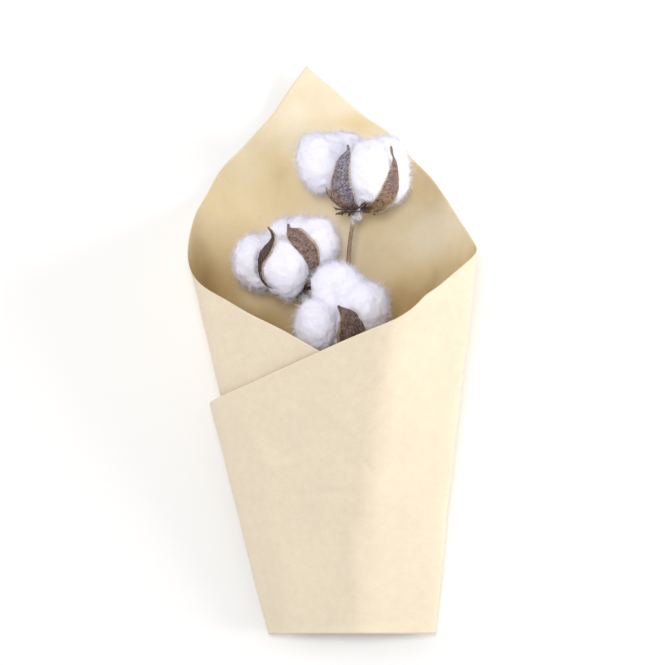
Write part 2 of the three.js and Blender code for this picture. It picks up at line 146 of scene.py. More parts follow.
# Each boll is measured from its base. A lock is x, y, z, half-width, half-height, half-depth and its
# lean in degrees. A valve has rows of x, y, z and half-width from its root to its tip, the way it faces,
# and its tone: how grey, how dark and how ochre it has weathered. A pale margin has its width, above 0
# on the right side and below 0 on the left, and the shares of the valve's length where it starts and ends.
BOLLS = {
    "top": {
        "base": (16.2, 79.7, 26.6),
        "axis": (-0.05, 1, 0.02),
        "locks": [
            (-24, 32, 0, 13.8, 19, 16.5, 6),
            (-10.4, 39.2, -9, 15.6, 13.6, 14, 20),
            (7.4, 26, 12, 14, 19.8, 15, -4),
            (20.8, 27.8, -1, 13, 22.2, 15, 4),
            (2, 22, -8, 17, 17, 14, 0),
            (-27, 38.4, -2, 12, 14, 14, 10),
            (-17.5, 37.4, -3, 13, 14, 15, 0),
            (14.4, 34, 2, 12, 13, 13, 0),
            (-0.6, 5.6, 8, 4.4, 6, 3.6, 0),
        ],
        "valves": [
            {
                "rows": [
                    (-2.4, 1, 3, 3.2), (-3.8, 3.3, 5.4, 4.3), (-6.5, 6, 9, 6.3), (-8.5, 9.2, 11.5, 7.6),
                    (-9.9, 12.6, 13.4, 7.8), (-10.6, 16.2, 14.7, 7.4), (-10.8, 20, 15.8, 6.9),
                    (-10.3, 24.5, 16.4, 5.9), (-9.6, 29.1, 16.8, 5.1), (-8.6, 33, 16.8, 4.4),
                    (-7.4, 35.6, 16.6, 3.3), (-6.3, 37.9, 16.4, 2.1), (-5.9, 40.2, 16, 0.95),
                    (-6.4, 42.9, 15.6, 0.75),
                ],
                "face": (-0.35, 0, 1),
                "tone": (0.85, 0.2, 0),
                "pale": (0.1, -0.2, 0.8),
            },
            {
                "rows": [
                    (3, 0.8, 3, 2.6), (9.5, 1.6, 5, 3.6), (15.2, 3.7, 8.4, 5.3), (18.3, 6.8, 11.6, 6.5),
                    (21.1, 11, 13.6, 6.5), (22.3, 14.8, 14.8, 6.4), (23.4, 19.3, 15.6, 5.3),
                    (23.9, 23.9, 16.2, 4.2), (24.5, 28.4, 16.4, 2.7), (24.3, 32.4, 16.2, 1.6),
                    (23.8, 34.7, 16, 0.65), (23, 37.3, 15.7, 0.75), (22.5, 40, 15.4, 1.0),
                    (22.2, 42.3, 15, 0.5),
                ],
                "face": (0.5, -0.1, 1),
                "tone": (0.25, 0, 0.85),
            },
            {
                "rows": [
                    (-3, 1, -2, 3), (-6, 3.4, -6, 3.4), (-10, 8, -9.5, 3.6), (-19, 17, -14, 6),
                    (-25, 25, -15, 6), (-24, 31, -15.2, 3.4), (-22, 36, -15, 0.9),
                ],
                "face": (-0.6, -0.2, -1),
                "tone": (0.3, 0.4, 0.1),
            },
            {
                "rows": [
                    (4, 1, -2, 3), (8, 2.6, -6.4, 5), (12, 5, -10, 6.6), (18, 14, -17, 7.2),
                    (20, 24, -18, 6), (19, 31.4, -17.8, 3.4), (17, 38, -17, 0.9),
                ],
                "face": (0.5, -0.2, -1),
                "tone": (0.2, 0.4, 0.1),
            },
            {
                "rows": [
                    (-4, 1, 1, 2.2), (-11, 3.8, 2.6, 2.8), (-16.6, 8, 4.4, 2.6),
                    (-19.6, 12.4, 5.6, 1.5), (-20.6, 16.2, 6.4, 0.5),
                ],
                "face": (-0.9, -0.4, 0.5),
                "tone": (0.1, 0, 0.1),
            },
        ],
        "stem": [
            (-2.6, -7, -2), (-5.6, -31.6, -5), (-6.5, -80, -13), (-4.5, -140, -19), (-1, -200, -22.8),
            (0.6, -267, -23),
        ],
    },
    "left": {
        "base": (-20.8, 26.1, 26),
        "axis": (-0.457, 0.889, 0.05),
        "locks": [
            (-28, 20, 1, 16, 18.6, 17, 10),
            (-10.2, 16.4, 13, 15, 19.4, 16, 8),
            (8.4, 32, 1, 15.6, 17.8, 16, -10),
            (-9.5, 37, -8, 12, 12.5, 13, 0),
            (-8, 22, -4, 17, 17, 16, 0),
            (-0.6, 36.6, -4, 13, 13.4, 14, 0),
            (-20, 26, -2, 12, 12, 13, 0),
        ],
        "valves": [
            {
                "rows": [
                    (-2, 0, 3, 2.6), (-11.2, 0.8, 6, 3.6), (-20.3, 3.2, 10, 4.4), (-25, 7, 13.4, 5),
                    (-27.2, 12.8, 16.4, 5.2), (-27.4, 16.1, 17.6, 5.2), (-27.1, 19.3, 18.8, 5.2),
                    (-26.2, 22.5, 19.8, 5.4), (-25, 25.1, 20.6, 5.8), (-23.2, 27.7, 21, 6),
                    (-21.4, 30.2, 21.2, 5.4), (-19.8, 32.9, 21.2, 4.6), (-18.6, 36.1, 21, 3.4),
                    (-19.4, 39.4, 20.5, 1.6), (-21.6, 42.4, 20, 0.6),
                ],
                "face": (-1, -0.15, 0.42),
                "tone": (0, 1.05, 0),
                "pale": (0.42, 0.1, 0.55),
            },
            {
                "rows": [
                    (0.5, 1.6, 3.6, 3), (2.7, 2.9, 5.6, 2.2), (4.7, 4.9, 8.6, 1.7), (5.9, 8.4, 11, 1.5),
                    (8.2, 11.5, 12.8, 1.7), (9.5, 14.8, 14.6, 3.3), (9.3, 18.8, 16.8, 4.7),
                    (8.1, 23.4, 19, 6.1), (6.1, 28.3, 20.8, 6.9), (2.6, 32.1, 21.8, 6.8),
                    (-1, 36.1, 22.2, 6.7), (-5.2, 39.2, 22.2, 5.1), (-7.4, 41.9, 21.8, 1.7),
                    (-7.9, 44.7, 21, 0.8),
                ],
                "face": (0.45, 0.2, 1),
                "tone": (0.3, 0.5, 0.1),
                "pale": (0.17, 0.35, 0.9),
            },
            {
                "rows": [
                    (3, 2, 0, 3), (6, 4.4, -3.6, 5), (10, 8, -6, 6), (16, 20, -15, 6.6),
                    (16, 32, -15, 4.8), (13.6, 37.4, -14.8, 2.8), (10, 42, -14, 0.9),
                ],
                "face": (0.5, 0, -1),
                "tone": (0.3, 0.5, 0),
            },
            {
                "rows": [
                    (-4, 1, -3, 3), (-11, 3, -7.6, 5), (-18, 6, -11, 6), (-28, 18, -17, 6.6),
                    (-28, 30, -15, 4.8), (-25.4, 35.6, -14, 2.8), (-22, 40, -13, 0.9),
                ],
                "face": (-0.5, 0, -1),
                "tone": (0.2, 0.6, 0),
            },
        ],
        "stem": [
            (3.6, -7, -1.6), (14, -42, -9), (22.5, -88, -17), (28.5, -146, -22.5), (32.3, -213, -22.8),
        ],
    },
    "low": {
        "base": (8.8, -18, 45),
        "axis": (-0.05, 0.95, 0.3),
        "locks": [
            (-7.8, 50.4, 6, 14.8, 12.3, 13, 22),
            (-19, 23.4, 13.5, 13, 17.2, 14, -4),
            (11.4, 35, 13, 15.8, 15.6, 16, 12),
            (-1, 26, 3, 15, 18, 14, 0),
            (16, 16, 2, 12, 14, 12, -20),
            (1.6, 44, 7, 12.5, 11.6, 12, 20),
            (-8, 37, 8, 13, 12.5, 12, 0),
        ],
        "valves": [
            {
                "rows": [
                    (0, 0.6, 3.8, 4), (0.9, 2.6, 6.5, 5.4), (2.3, 6, 11, 7.3), (3.1, 10.6, 16, 9),
                    (3.5, 15.1, 19.8, 9.6), (3.2, 19.6, 22.8, 8.8), (2.3, 23.4, 24.6, 7.8),
                    (1.1, 27.3, 25.6, 6.2), (-1.2, 30.5, 26.2, 3.8), (-4.1, 33.5, 26.4, 1.4),
                    (-5.3, 35.4, 26.4, 0.6),
                ],
                "face": (0.05, -0.15, 1),
                "tone": (0.15, 0.7, 0),
                "pale": (-0.1, -0.2, 1.2),
            },
            {
                "rows": [
                    (-4, 1, 0, 3), (-9, 1.6, -1, 5), (-14, 3, -2, 6.4), (-23.5, 12, -1, 7),
                    (-27, 24, 0, 5.4), (-26, 30.4, 0.6, 3), (-24, 36, 1, 0.9),
                ],
                "face": (-1, -0.3, -0.1),
                "tone": (0.2, 0.6, 0),
            },
            {
                "rows": [
                    (4, 1, 0, 3), (9, 1, 1, 5), (14, 2, 2, 6.2), (23, 8, 3, 6.8), (26, 20, 4, 5),
                    (25.4, 26.6, 3.6, 2.8), (24, 32, 3, 0.9),
                ],
                "face": (1, -0.3, -0.1),
                "tone": (0.2, 0.6, 0),
            },
            {
                "rows": [
                    (0, 2, -3, 3), (-0.4, 4.4, -7, 5), (-1, 8, -10, 6.4), (-2, 20, -13, 7),
                    (-3, 32, -12, 5), (-3.4, 38.6, -11, 2.8), (-4, 44, -10, 0.9),
                ],
                "face": (0, -0.2, -1),
                "tone": (0.2, 0.6, 0),
            },
        ],
        "stem": [
            (1.2, -9, -3.2), (7, -50, -17), (11.6, -100, -34), (13, -132, -41.5), (13.6, -162, -41.8),
        ],
    },
}

# Where the random numbers of each boll and of the noise start.
SEEDS = {"top": 11, "left": 18, "low": 25}
NOISE_SEED = 3

# The valves of each bur.
VALVE_COLUMNS = 20
VALVE_ROWS = 60
VALVE_CUPPING = 0.3
VALVE_RIB = 0.35
VALVE_FLARE = 0.1
VALVE_CRINKLE = 0.28
VALVE_RAGGED = 0.05
NARROWEST_HALF = 0.3
PALE_FADE = 0.15

# The cup that the valves grow from, as radius and height, and the torn bracts round it.
CUP_PROFILE = [
    (0, -0.1), (3.2, 0), (5.4, 0.7), (6.4, 1.8), (6.9, 3.2), (6.6, 4.5), (4.9, 4.6), (3.4, 3.9), (0, 3.7),
]
CUP_STEPS = 40
CUP_LOBES = 5
CUP_LOBE_DEPTH = 0.07
CUP_ROUGHNESS = 0.06
CUP_RADIUS = 7.0
BRACTS = 30
BRACT_RISE = 1.5
BRACT_REACH = (6.5, 12)
BRACT_LIFT = (-4, 5.5)
BRACT_WIDTH = (1.5, 3.2)
BRACT_TWIST = (-0.9, 0.9)
BRACT_CURL = (-2.2, 2.2)
BRACT_THICK = 0.5
BRACT_COLUMNS = 4
BRACT_ROWS = 12
BROKEN_REACH = 2.5
# The bracts between these angles round the bur, in degrees, have broken off short.
BROKEN_BRACTS = {"left": (98.4, 265)}

# Each stem, with the downy knob at its top.
JOIN_GAP = 0.3
KNOB_RADIUS = 3.4
KNOB_REACH = 3.6
STEM_TOP_RADIUS = 1.25
STEM_FOOT_RADIUS = 2.3
STEM_SIDES = 20
STEM_ROWS = 180
STEM_CROWDING = 1.6
NODE_SPACING = 34.0
NODE_SHIFT = 11.0
NODE_TURN = 2.4
SCAR_HEIGHT = 0.55
SCAR_LENGTH = 2.2
DOWN_HEIGHT = 0.3

# The lint. Tufts have layers of noise: share, shift of the noise and size.
LINT_CLEARANCE = 1.0
LINT_SWELL = 0.6
LINT_SMOOTHING = {"factor": 0.6, "iterations": 22}
TUFT_LAYERS = [(0.9, 0, 9.5), (0.6, 40, 4.6), (0.28, 0, 2.1)]
PRESS_ROUNDS = 12
PRESS_START = 2.0
PRESS_REACH = 12.0
PRESS_DEPTH = 9.0
# Kinds of strand: share of all strands, shortest and longest in millimetres, how steeply it leaves the
# lint and how it ends in degrees, and how far it curls round.
STRAND_KINDS = [
    (0.7, 2.4, 4.8, (12, 60), (-45, 20), 150),
    (0.26, 4.0, 7.0, (30, 75), (-30, 45), 210),
    (0.04, 6.5, 11.0, (30, 80), (-40, 40), 270),
]
STRAND_STEPS = 3
STRAND_TAPER = np.array([0.9, 1.0, 0.8, 0.2])
STRAND_ROOT = 0.4
STRAND_FLOW = 11
VALVE_CROSSING_SHARE = 0.01
VALVE_NEAR = 3.5
VALVE_BEHIND = 0.3
VALVE_ASIDE = 0.7
BRACT_CROSSING_SHARE = 0.06
BRACT_BELOW = 30.0

# The lamps: place and width in metres, and colour. Their power is set in the panel.
LAMPS = {
    "key": ((-0.12, 0.24, 1.65), 0.5, (1, 0.99, 0.98)),
    "right": ((1.5, -0.1, 0.5), 0.9, (1, 0.985, 0.96)),
    "left": ((-1.3, 0.4, 0.6), 0.9, (1, 0.985, 0.96)),
}
LAMP_TARGET = Vector((0, 0, 0.05))


# Settings in the panel

COLOUR = {"subtype": "COLOR", "size": 3}


class PaperSettings(bpy.types.PropertyGroup):
    thickness: FloatProperty(
        name="Thickness", description="Thickness of the paper", default=0.00035, min=0.0001, unit="LENGTH"
    )
    waves: FloatProperty(
        name="Waves", description="Height of the sheet's slow waves", default=0.0007, min=0, unit="LENGTH"
    )
    creases: FloatProperty(
        name="Creases", description="Height of the handling creases", default=0.0003, min=0, unit="LENGTH"
    )
    colour: FloatVectorProperty(
        name="Colour", description="Colour of the kraft paper", default=(0.785, 0.682, 0.525), **COLOUR
    )
    # The inner side's colours: pale where it lies open at the tip, then warm and deep painted shade far
    # down the cone and under the rim.
    pale: FloatVectorProperty(
        name="Pale inside",
        description="Colour of the inner side at its tip",
        default=(0.87, 0.775, 0.597),
        **COLOUR,
    )
    warm_shade: FloatVectorProperty(
        name="Warm inside",
        description="Colour of the inner side halfway down",
        default=(0.75, 0.607, 0.37),
        **COLOUR,
    )
    shade: FloatVectorProperty(
        name="Deep inside",
        description="Colour of the inner side under the rim",
        default=(0.49, 0.335, 0.145),
        **COLOUR,
    )


class LintSettings(bpy.types.PropertyGroup):
    grain: FloatProperty(
        name="Grain", description="Size of the lint's cells", default=0.0008, min=0.0004, unit="LENGTH"
    )
    tufts: FloatProperty(
        name="Tufts", description="Depth of the tufts", default=0.0013, min=0, unit="LENGTH"
    )
    fibres: IntProperty(name="Fibres", description="Number of fibres on each boll", default=28000, min=100)
    fibre_width: FloatProperty(
        name="Fibre width", description="Width of a strand", default=0.00013, min=0.00002, unit="LENGTH"
    )
    colour: FloatVectorProperty(
        name="Colour", description="Colour of the lint", default=(0.874, 0.869, 0.965), **COLOUR
    )


class BurSettings(bpy.types.PropertyGroup):
    thickness: FloatProperty(
        name="Thickness", description="Thickness of a valve", default=0.0009, min=0.0002, unit="LENGTH"
    )
    brown: FloatVectorProperty(
        name="Brown", description="Colour of a fresh valve", default=(0.3, 0.19, 0.155), **COLOUR
    )
    grey: FloatVectorProperty(
        name="Grey", description="Colour of a weathered valve", default=(0.24, 0.22, 0.27), **COLOUR
    )
    cream: FloatVectorProperty(
        name="Cream", description="Colour of a valve's margin", default=(0.6, 0.47, 0.33), **COLOUR
    )


class StemSettings(bpy.types.PropertyGroup):
    bark: FloatProperty(
        name="Bark", description="Depth of the bark's ribs", default=0.00012, min=0, unit="LENGTH"
    )
    colour: FloatVectorProperty(
        name="Colour", description="Colour of the dried stem", default=(0.43, 0.3, 0.225), **COLOUR
    )


class StageSettings(bpy.types.PropertyGroup):
    floor_size: FloatProperty(
        name="Floor", description="Width of the floor", default=6.0, min=1, unit="LENGTH"
    )
    floor_colour: FloatVectorProperty(
        name="Floor colour", description="Colour of the floor", default=(0.95, 0.95, 0.95), **COLOUR
    )
    key_power: FloatProperty(
        name="Key light", description="Power of the light from above in watts", default=11.2, min=0
    )
    right_power: FloatProperty(
        name="Right light", description="Power of the light from the right in watts", default=14.5, min=0
    )
    left_power: FloatProperty(
        name="Left light", description="Power of the light from the left in watts", default=4.5, min=0
    )
    sky: FloatProperty(name="Sky", description="Strength of the light from all round", default=0.52, min=0)


# Finishes


class Signal:
    """A number, colour or direction in a finish. Sums with it add Math nodes."""

    def __init__(self, recipe, socket):
        self.recipe = recipe
        self.socket = socket

    def other(self, name):
        """Another output of the same node."""
        return Signal(self.recipe, self.socket.node.outputs[name])

    def sum(self, operation, first, second=None):
        """The outcome of a Math node."""
        return self.recipe.node("ShaderNodeMath", {"operation": operation}, {0: first, 1: second})

    def __add__(self, value):
        return self.sum("ADD", self, value)

    def __radd__(self, value):
        return self.sum("ADD", value, self)

    def __sub__(self, value):
        return self.sum("SUBTRACT", self, value)

    def __rsub__(self, value):
        return self.sum("SUBTRACT", value, self)

    def __mul__(self, value):
        return self.sum("MULTIPLY", self, value)

    def __rmul__(self, value):
        return self.sum("MULTIPLY", value, self)

    def __abs__(self):
        return self.sum("ABSOLUTE", self)

    def band(self, low, high):
        """Runs smoothly from 0 at low to 1 at high."""
        ranges = {"Value": self, "From Min": low, "From Max": high}
        return self.recipe.node("ShaderNodeMapRange", {"interpolation_type": "SMOOTHSTEP"}, ranges)


class Recipe:
    """One finish, made of nodes."""

    def __init__(self, name):
        self.material = bpy.data.materials.new(name)
        self.material.use_nodes = True
        self.tree = self.material.node_tree
        self.tree.nodes.clear()

    @staticmethod
    def socket(sockets, key):
        """The socket with that number or name."""
        if isinstance(key, int):
            return sockets[key]
        return next(one for one in sockets if one.name == key and one.enabled)

    def node(self, kind, settings=None, inputs=None):
        """Adds a node of that kind, sets it up, and gives its sockets their values or links."""
        node = self.tree.nodes.new(kind)
        for key, value in (settings or {}).items():
            setattr(node, key, value)
        for key, value in (inputs or {}).items():
            if value is None:
                continue
            socket = self.socket(node.inputs, key)
            if isinstance(value, Signal):
                self.tree.links.new(value.socket, socket)
            elif isinstance(value, (tuple, list)) and len(value) == 3 and socket.type == "RGBA":
                socket.default_value = (*value, 1)
            else:
                socket.default_value = value
        shown = [one for one in node.outputs if one.enabled]
        return Signal(self, shown[0]) if shown else None

    def place(self):
        """The place on the piece, in metres."""
        return self.node("ShaderNodeTexCoord").other("Object")

    def stretched(self, place, scale, turn=(0, 0, 0)):
        """The same place on a pattern that is scaled and turned."""
        return self.node("ShaderNodeMapping", None, {"Vector": place, "Scale": scale, "Rotation": turn})

    def cloud(self, place, scale, detail=3.0, roughness=0.5, distortion=0.0):
        """Soft noise from 0 to 1."""
        inputs = {
            "Vector": place,
            "Scale": scale,
            "Detail": detail,
            "Roughness": roughness,
            "Distortion": distortion,
        }
        return self.node("ShaderNodeTexNoise", None, inputs)

    def mix(self, first, second, share):
        """A colour between two others."""
        inputs = {"Factor": share, "A": first, "B": second}
        return self.node("ShaderNodeMix", {"data_type": "RGBA"}, inputs)

    def shade(self, colour, strength):
        """A colour made darker or lighter."""
        inputs = {"Vector": colour, "Scale": strength}
        return self.node("ShaderNodeVectorMath", {"operation": "SCALE"}, inputs)

    def bump(self, height, strength, distance):
        """Fine relief of that height in metres."""
        inputs = {"Height": height, "Strength": strength, "Distance": distance}
        return self.node("ShaderNodeBump", None, inputs)

    def surface(self, **inputs):
        """Ends the finish with its surface."""
        names = [key.replace("_", " ").title().replace("Ior", "IOR") for key in inputs]
        shader = self.node("ShaderNodeBsdfPrincipled", None, dict(zip(names, inputs.values())))
        self.node("ShaderNodeOutputMaterial", None, {"Surface": shader})
        return self.material


def kraft_finish(settings, inside):
    """Kraft paper: soft mottle, pulp grain, sparse darker and lighter fibres. Inside, painted shade makes
    it warmer and darker deep in the cone and under the rim.
    """
    recipe = Recipe("kraft_inside_finish" if inside else "kraft_outside_finish")
    sheet = recipe.node("ShaderNodeUVMap", {"uv_map": "sheet"})
    clouds = recipe.cloud(sheet, 2.2, 3)
    mottle = recipe.cloud(sheet, 17, 5, 0.6)
    pulp = recipe.cloud(sheet, 95, 4, 0.65)
    along = recipe.cloud(recipe.stretched(sheet, (26, 150, 1), (0, 0, 0.5)), 1, 2)
    across = recipe.cloud(recipe.stretched(sheet, (140, 24, 1), (0, 0, -0.35)), 1, 2)
    dark_fibres = along.band(0.66, 0.74) * recipe.cloud(sheet, 13, 1).band(0.5, 0.62)
    light_fibres = across.band(0.66, 0.74) * recipe.cloud(sheet, 11, 1).band(0.46, 0.6)
    strength = 0.77 + 0.12 * clouds + 0.16 * mottle + 0.22 * pulp
    paper = tuple(settings.colour)
    if inside:
        # Painted shade: the inner side runs from pale through warm to deep shade by the painted depth
        # tone, with random blotches.
        depth = recipe.node("ShaderNodeAttribute", {"attribute_name": "depth"}).other("Fac")
        blotches = recipe.cloud(sheet, 3.6, 4, 0.55, 0.4)
        tone = depth + 0.5 * blotches + 0.16 * mottle - 0.33
        warm_shaded = recipe.mix(tuple(settings.pale), tuple(settings.warm_shade), 2 * tone)
        paper = recipe.mix(warm_shaded, tuple(settings.shade), 2 * tone - 1)
    base = recipe.shade(paper, strength)
    fibrous = recipe.mix(base, recipe.shade(base, 0.8), dark_fibres * 0.55)
    light = recipe.mix(fibrous, recipe.shade(base, 1.12), light_fibres * 0.6)
    height = 0.5 * mottle + 0.3 * pulp + 0.25 * dark_fibres - 0.2 * light_fibres
    relief = recipe.bump(height, 0.35, 0.0004)
    rough = 0.72 + 0.18 * pulp
    return recipe.surface(base_color=light, roughness=rough, specular_ior_level=0.28, normal=relief)


def lint_finish(settings):
    """The body of the lint: matt, nearly white, matted fibres with soft cream and grey patches."""
    recipe = Recipe("lint_finish")
    place = recipe.place()
    patches = recipe.cloud(place, 60, 3)
    matted = recipe.cloud(place, 420, 5, 0.7, 1.2)
    strands = recipe.cloud(recipe.stretched(place, (900, 240, 500), (0.4, 0.2, 0.7)), 1, 4, 0.6, 0.8)
    flecks = recipe.cloud(place, 1100, 2).band(0.62, 0.7) * recipe.cloud(place + 3, 55, 1).band(0.55, 0.66)
    white = recipe.mix(tuple(settings.colour), (0.87, 0.85, 0.89), patches.band(0.5, 0.75) * 0.5)
    base = recipe.mix(white, (0.9, 0.83, 0.66), flecks * 0.6)
    relief = recipe.bump(0.6 * matted + 0.5 * strands, 0.2, 0.0008)
    return recipe.surface(base_color=base, roughness=1.0, specular_ior_level=0.1, normal=relief)


def fibre_finish(settings):
    """Loose fibres of lint."""
    recipe = Recipe("lint_fibre_finish")
    place = recipe.place()
    patches = recipe.cloud(place, 90, 2).band(0.45, 0.7)
    base = recipe.mix(tuple(settings.colour), (0.885, 0.868, 0.905), patches)
    return recipe.surface(base_color=base, roughness=1.0, specular_ior_level=0.1)


def valve_finishes(settings):
    """The outer side, the inner side and the rim of a dried valve."""
    recipe = Recipe("bur_outer_finish")
    place = recipe.place()
    tone = recipe.node("ShaderNodeAttribute", {"attribute_name": "tone"})
    split = recipe.node("ShaderNodeSeparateColor", None, {"Color": tone})
    grey = split
    dark = split.other("Green")
    ochre = split.other("Blue")
    blade = recipe.node("ShaderNodeUVMap", {"uv_map": "blade"})
    spot = recipe.node("ShaderNodeSeparateXYZ", None, {"Vector": blade})
    across = spot * 2 - 1
    aside = abs(across)
    up = spot.other("Y")
    patches = recipe.cloud(place, 130, 3, 0.55)
    specks = recipe.cloud(place, 330, 5, 0.7)
    stipple = recipe.cloud(place, 860, 4, 0.75, 0.4)
    veins = recipe.cloud(recipe.stretched(blade, (26, 3.4, 1)), 1, 3, 0.6, 0.5)
    deep = recipe.shade(tuple(settings.brown), 0.42)
    brown = recipe.mix(deep, tuple(settings.brown), specks.band(0.36, 0.6))
    dusty = recipe.mix(brown, (0.5, 0.42, 0.43), stipple.band(0.52, 0.62) * 0.55)
    lead = recipe.shade(tuple(settings.grey), 0.45)
    silver = recipe.mix(lead, recipe.shade(tuple(settings.grey), 1.65), stipple.band(0.4, 0.62))
    weather = grey * 1.5 + patches * 1.6 + specks * 0.5 + up * 0.9 + across * 0.3 - 2.3
    greyness = weather.band(0, 0.5)
    weathered = recipe.mix(dusty, silver, greyness)
    stain = ochre * (1 - up).band(0.6, 0.9) * specks.band(0.4, 0.54)
    yellowed = recipe.mix(weathered, (0.4, 0.25, 0.075), stain)
    spotted = recipe.mix(yellowed, (0.06, 0.045, 0.048), (1 - stipple).band(0.54, 0.66) * 0.75)
    darkened = recipe.mix(spotted, recipe.shade(spotted, 0.25), (dark - 0.55 + 0.6 * patches).band(0, 1))
    right_pale = tone.other("Alpha") - 0.5
    margin = (aside + 0.2 * specks + right_pale * across).band(0.92, 1.04) * (1 - dark * 0.3)
    base = recipe.mix(darkened, tuple(settings.cream), margin * 0.85)
    relief = recipe.bump(0.7 * veins + 0.4 * specks + 0.2 * stipple, 0.6, 0.0005)
    rough = 0.68 + 0.22 * specks
    outer = recipe.surface(base_color=base, roughness=rough, specular_ior_level=0.3, normal=relief)

    recipe = Recipe("bur_inner_finish")
    place = recipe.place()
    silk = recipe.cloud(recipe.stretched(place, (700, 130, 300)), 1, 4)
    base = recipe.mix((0.5, 0.36, 0.22), (0.68, 0.54, 0.38), silk.band(0.35, 0.65))
    relief = recipe.bump(silk, 0.4, 0.0003)
    inner = recipe.surface(base_color=base, roughness=0.6, specular_ior_level=0.35, normal=relief)

    recipe = Recipe("bur_rim_finish")
    chips = recipe.cloud(recipe.place(), 600, 3)
    base = recipe.mix((0.3, 0.2, 0.13), (0.62, 0.5, 0.36), chips.band(0.4, 0.6))
    rim = recipe.surface(base_color=base, roughness=0.85, normal=recipe.bump(chips, 0.4, 0.0003))
    return outer, inner, rim


def bract_finish():
    """The dried, torn bracts and the cup: dark brown to grey, fibrous."""
    recipe = Recipe("bract_finish")
    place = recipe.place()
    patches = recipe.cloud(place, 330, 4, 0.6)
    grain = recipe.cloud(recipe.stretched(place, (1600, 500, 900)), 1, 4, 0.7)
    brown = recipe.mix((0.055, 0.038, 0.034), (0.2, 0.135, 0.105), patches.band(0.36, 0.66))
    dusty = recipe.mix(brown, (0.4, 0.37, 0.38), grain.band(0.58, 0.72) * patches.band(0.4, 0.6) * 0.8)
    relief = recipe.bump(grain, 0.7, 0.0005)
    return recipe.surface(base_color=dusty, roughness=0.9, specular_ior_level=0.2, normal=relief)


def stem_finish(settings):
    """Dried stem: streaked bark, with pale down on the knob under the boll."""
    recipe = Recipe("stem_finish")
    place = recipe.place()
    bark = recipe.node("ShaderNodeUVMap", {"uv_map": "bark"})
    spot = recipe.node("ShaderNodeSeparateXYZ", None, {"Vector": bark})
    from_top = spot.other("Y")
    streaks = recipe.cloud(recipe.stretched(bark, (9, 0.55, 1)), 1, 4, 0.6, 0.3)
    patches = recipe.cloud(place, 130, 3)
    down = recipe.cloud(place, 1300, 3, 0.7)
    dark = tuple(0.55 * part for part in settings.colour)
    light = (0.5, 0.37, 0.24)
    streaked = recipe.mix(dark, tuple(settings.colour), streaks.band(0.36, 0.6))
    wood = recipe.mix(streaked, light, patches.band(0.55, 0.75) * 0.6)
    fuzz = recipe.mix((0.34, 0.31, 0.33), (0.78, 0.76, 0.78), down.band(0.38, 0.6))
    base = recipe.mix(fuzz, wood, (from_top + 4 * patches - 2).band(7.5, 12.5))
    relief = recipe.bump(streaks + 0.6 * down, 0.5, 0.0004)
    return recipe.surface(base_color=base, roughness=0.85, specular_ior_level=0.2, normal=relief)


# Helpers for points and meshes


def in_frame(points):
    """Millimetres from the middle of the view, as metres in the frame."""
    return (np.asarray(points, dtype=float) + np.array(VIEW_MIDDLE)) * MM


def smooth(values, low, high):
    """Runs smoothly from 0 at low to 1 at high."""
    share = np.clip((values - low) / (high - low), 0, 1)
    return share * share * (3 - 2 * share)


def unit(vectors):
    """The same directions at length 1."""
    return vectors / np.maximum(np.linalg.norm(vectors, axis=-1, keepdims=True), 1e-12)


def value_noise(points, size):
    """Smooth noise from -1 to 1, whose features have that size, at each point."""
    return np.array([noise.noise(Vector(point)) for point in points / size])


def layered_noise(points, layers):
    """Noise of several sizes added up. A layer is its share, the shift of its noise and its size."""
    return sum(share * value_noise(points + shift, size) for share, shift, size in layers)


def vector_noise(points, size):
    """Smooth random directions at each point, the same ones in every run."""
    noise.seed_set(NOISE_SEED)
    return np.array([noise.noise_vector(Vector(point)) for point in points / size])


def curve_through(rows, places):
    """Points of a Catmull-Rom curve through the rows, at places from 0 to 1."""
    rows = np.asarray(rows, dtype=float)
    padded = np.vstack([2 * rows[0] - rows[1], rows, 2 * rows[-1] - rows[-2]])
    span = np.clip(np.asarray(places), 0, 1) * (len(rows) - 1)
    index = np.minimum(span.astype(int), len(rows) - 2)
    u = (span - index)[:, None]
    p0, p1, p2, p3 = (padded[index + k] for k in range(4))
    slope = p2 - p0
    bend = 2 * p0 - 5 * p1 + 4 * p2 - p3
    twist = 3 * p1 - p0 - 3 * p2 + p3
    return 0.5 * (2 * p1 + slope * u + bend * u**2 + twist * u**3)


def finished(bm, name):
    """The bmesh as a new mesh."""
    mesh = bpy.data.meshes.new(name)
    bm.to_mesh(mesh)
    bm.free()
    return mesh


def vectors_of(items, key="co"):
    """A vector of each vertex or face, as rows of an array."""
    values = np.empty(len(items) * 3)
    items.foreach_get(key, values)
    return values.reshape(-1, 3)


def bent_grid(columns, rows, place, layer, flat=None):
    """A mesh of a flat grid bent by place(u, v). flat(u, v) gives the map that its pattern follows."""
    bm = bmesh.new()
    bm.loops.layers.uv.new(layer)
    bmesh.ops.create_grid(bm, x_segments=columns, y_segments=rows, size=0.5, calc_uvs=True)
    mesh = finished(bm, layer)
    points = vectors_of(mesh.vertices)
    u = np.clip(points[:, 0] + 0.5, 0, 1)
    v = np.clip(points[:, 1] + 0.5, 0, 1)
    if flat is not None:
        corners = np.empty(len(mesh.loops), dtype=int)
        mesh.loops.foreach_get("vertex_index", corners)
        mesh.uv_layers[layer].data.foreach_set("uv", flat(u, v)[corners].ravel())
    mesh.vertices.foreach_set("co", place(u, v).ravel())
    mesh.update()
    return mesh


def dressed(mesh, *finishes):
    """The same mesh with its finishes."""
    for finish in finishes:
        mesh.materials.append(finish)
    return mesh


def piece_of(name, mesh, stands_for=()):
    """Adds a mesh to the scene as a named piece that rides with the bunch."""
    mesh.name = name
    piece = bpy.data.objects.new(name, mesh)
    bpy.context.scene.collection.objects.link(piece)
    mesh.shade_smooth()
    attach(piece, "root")
    if stands_for:
        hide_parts(*stands_for)
    return piece


def joined(meshes):
    """One mesh from several, which are used up."""
    bm = bmesh.new()
    for mesh in meshes:
        bm.from_mesh(mesh)
        bpy.data.meshes.remove(mesh)
    return finished(bm, "joined")


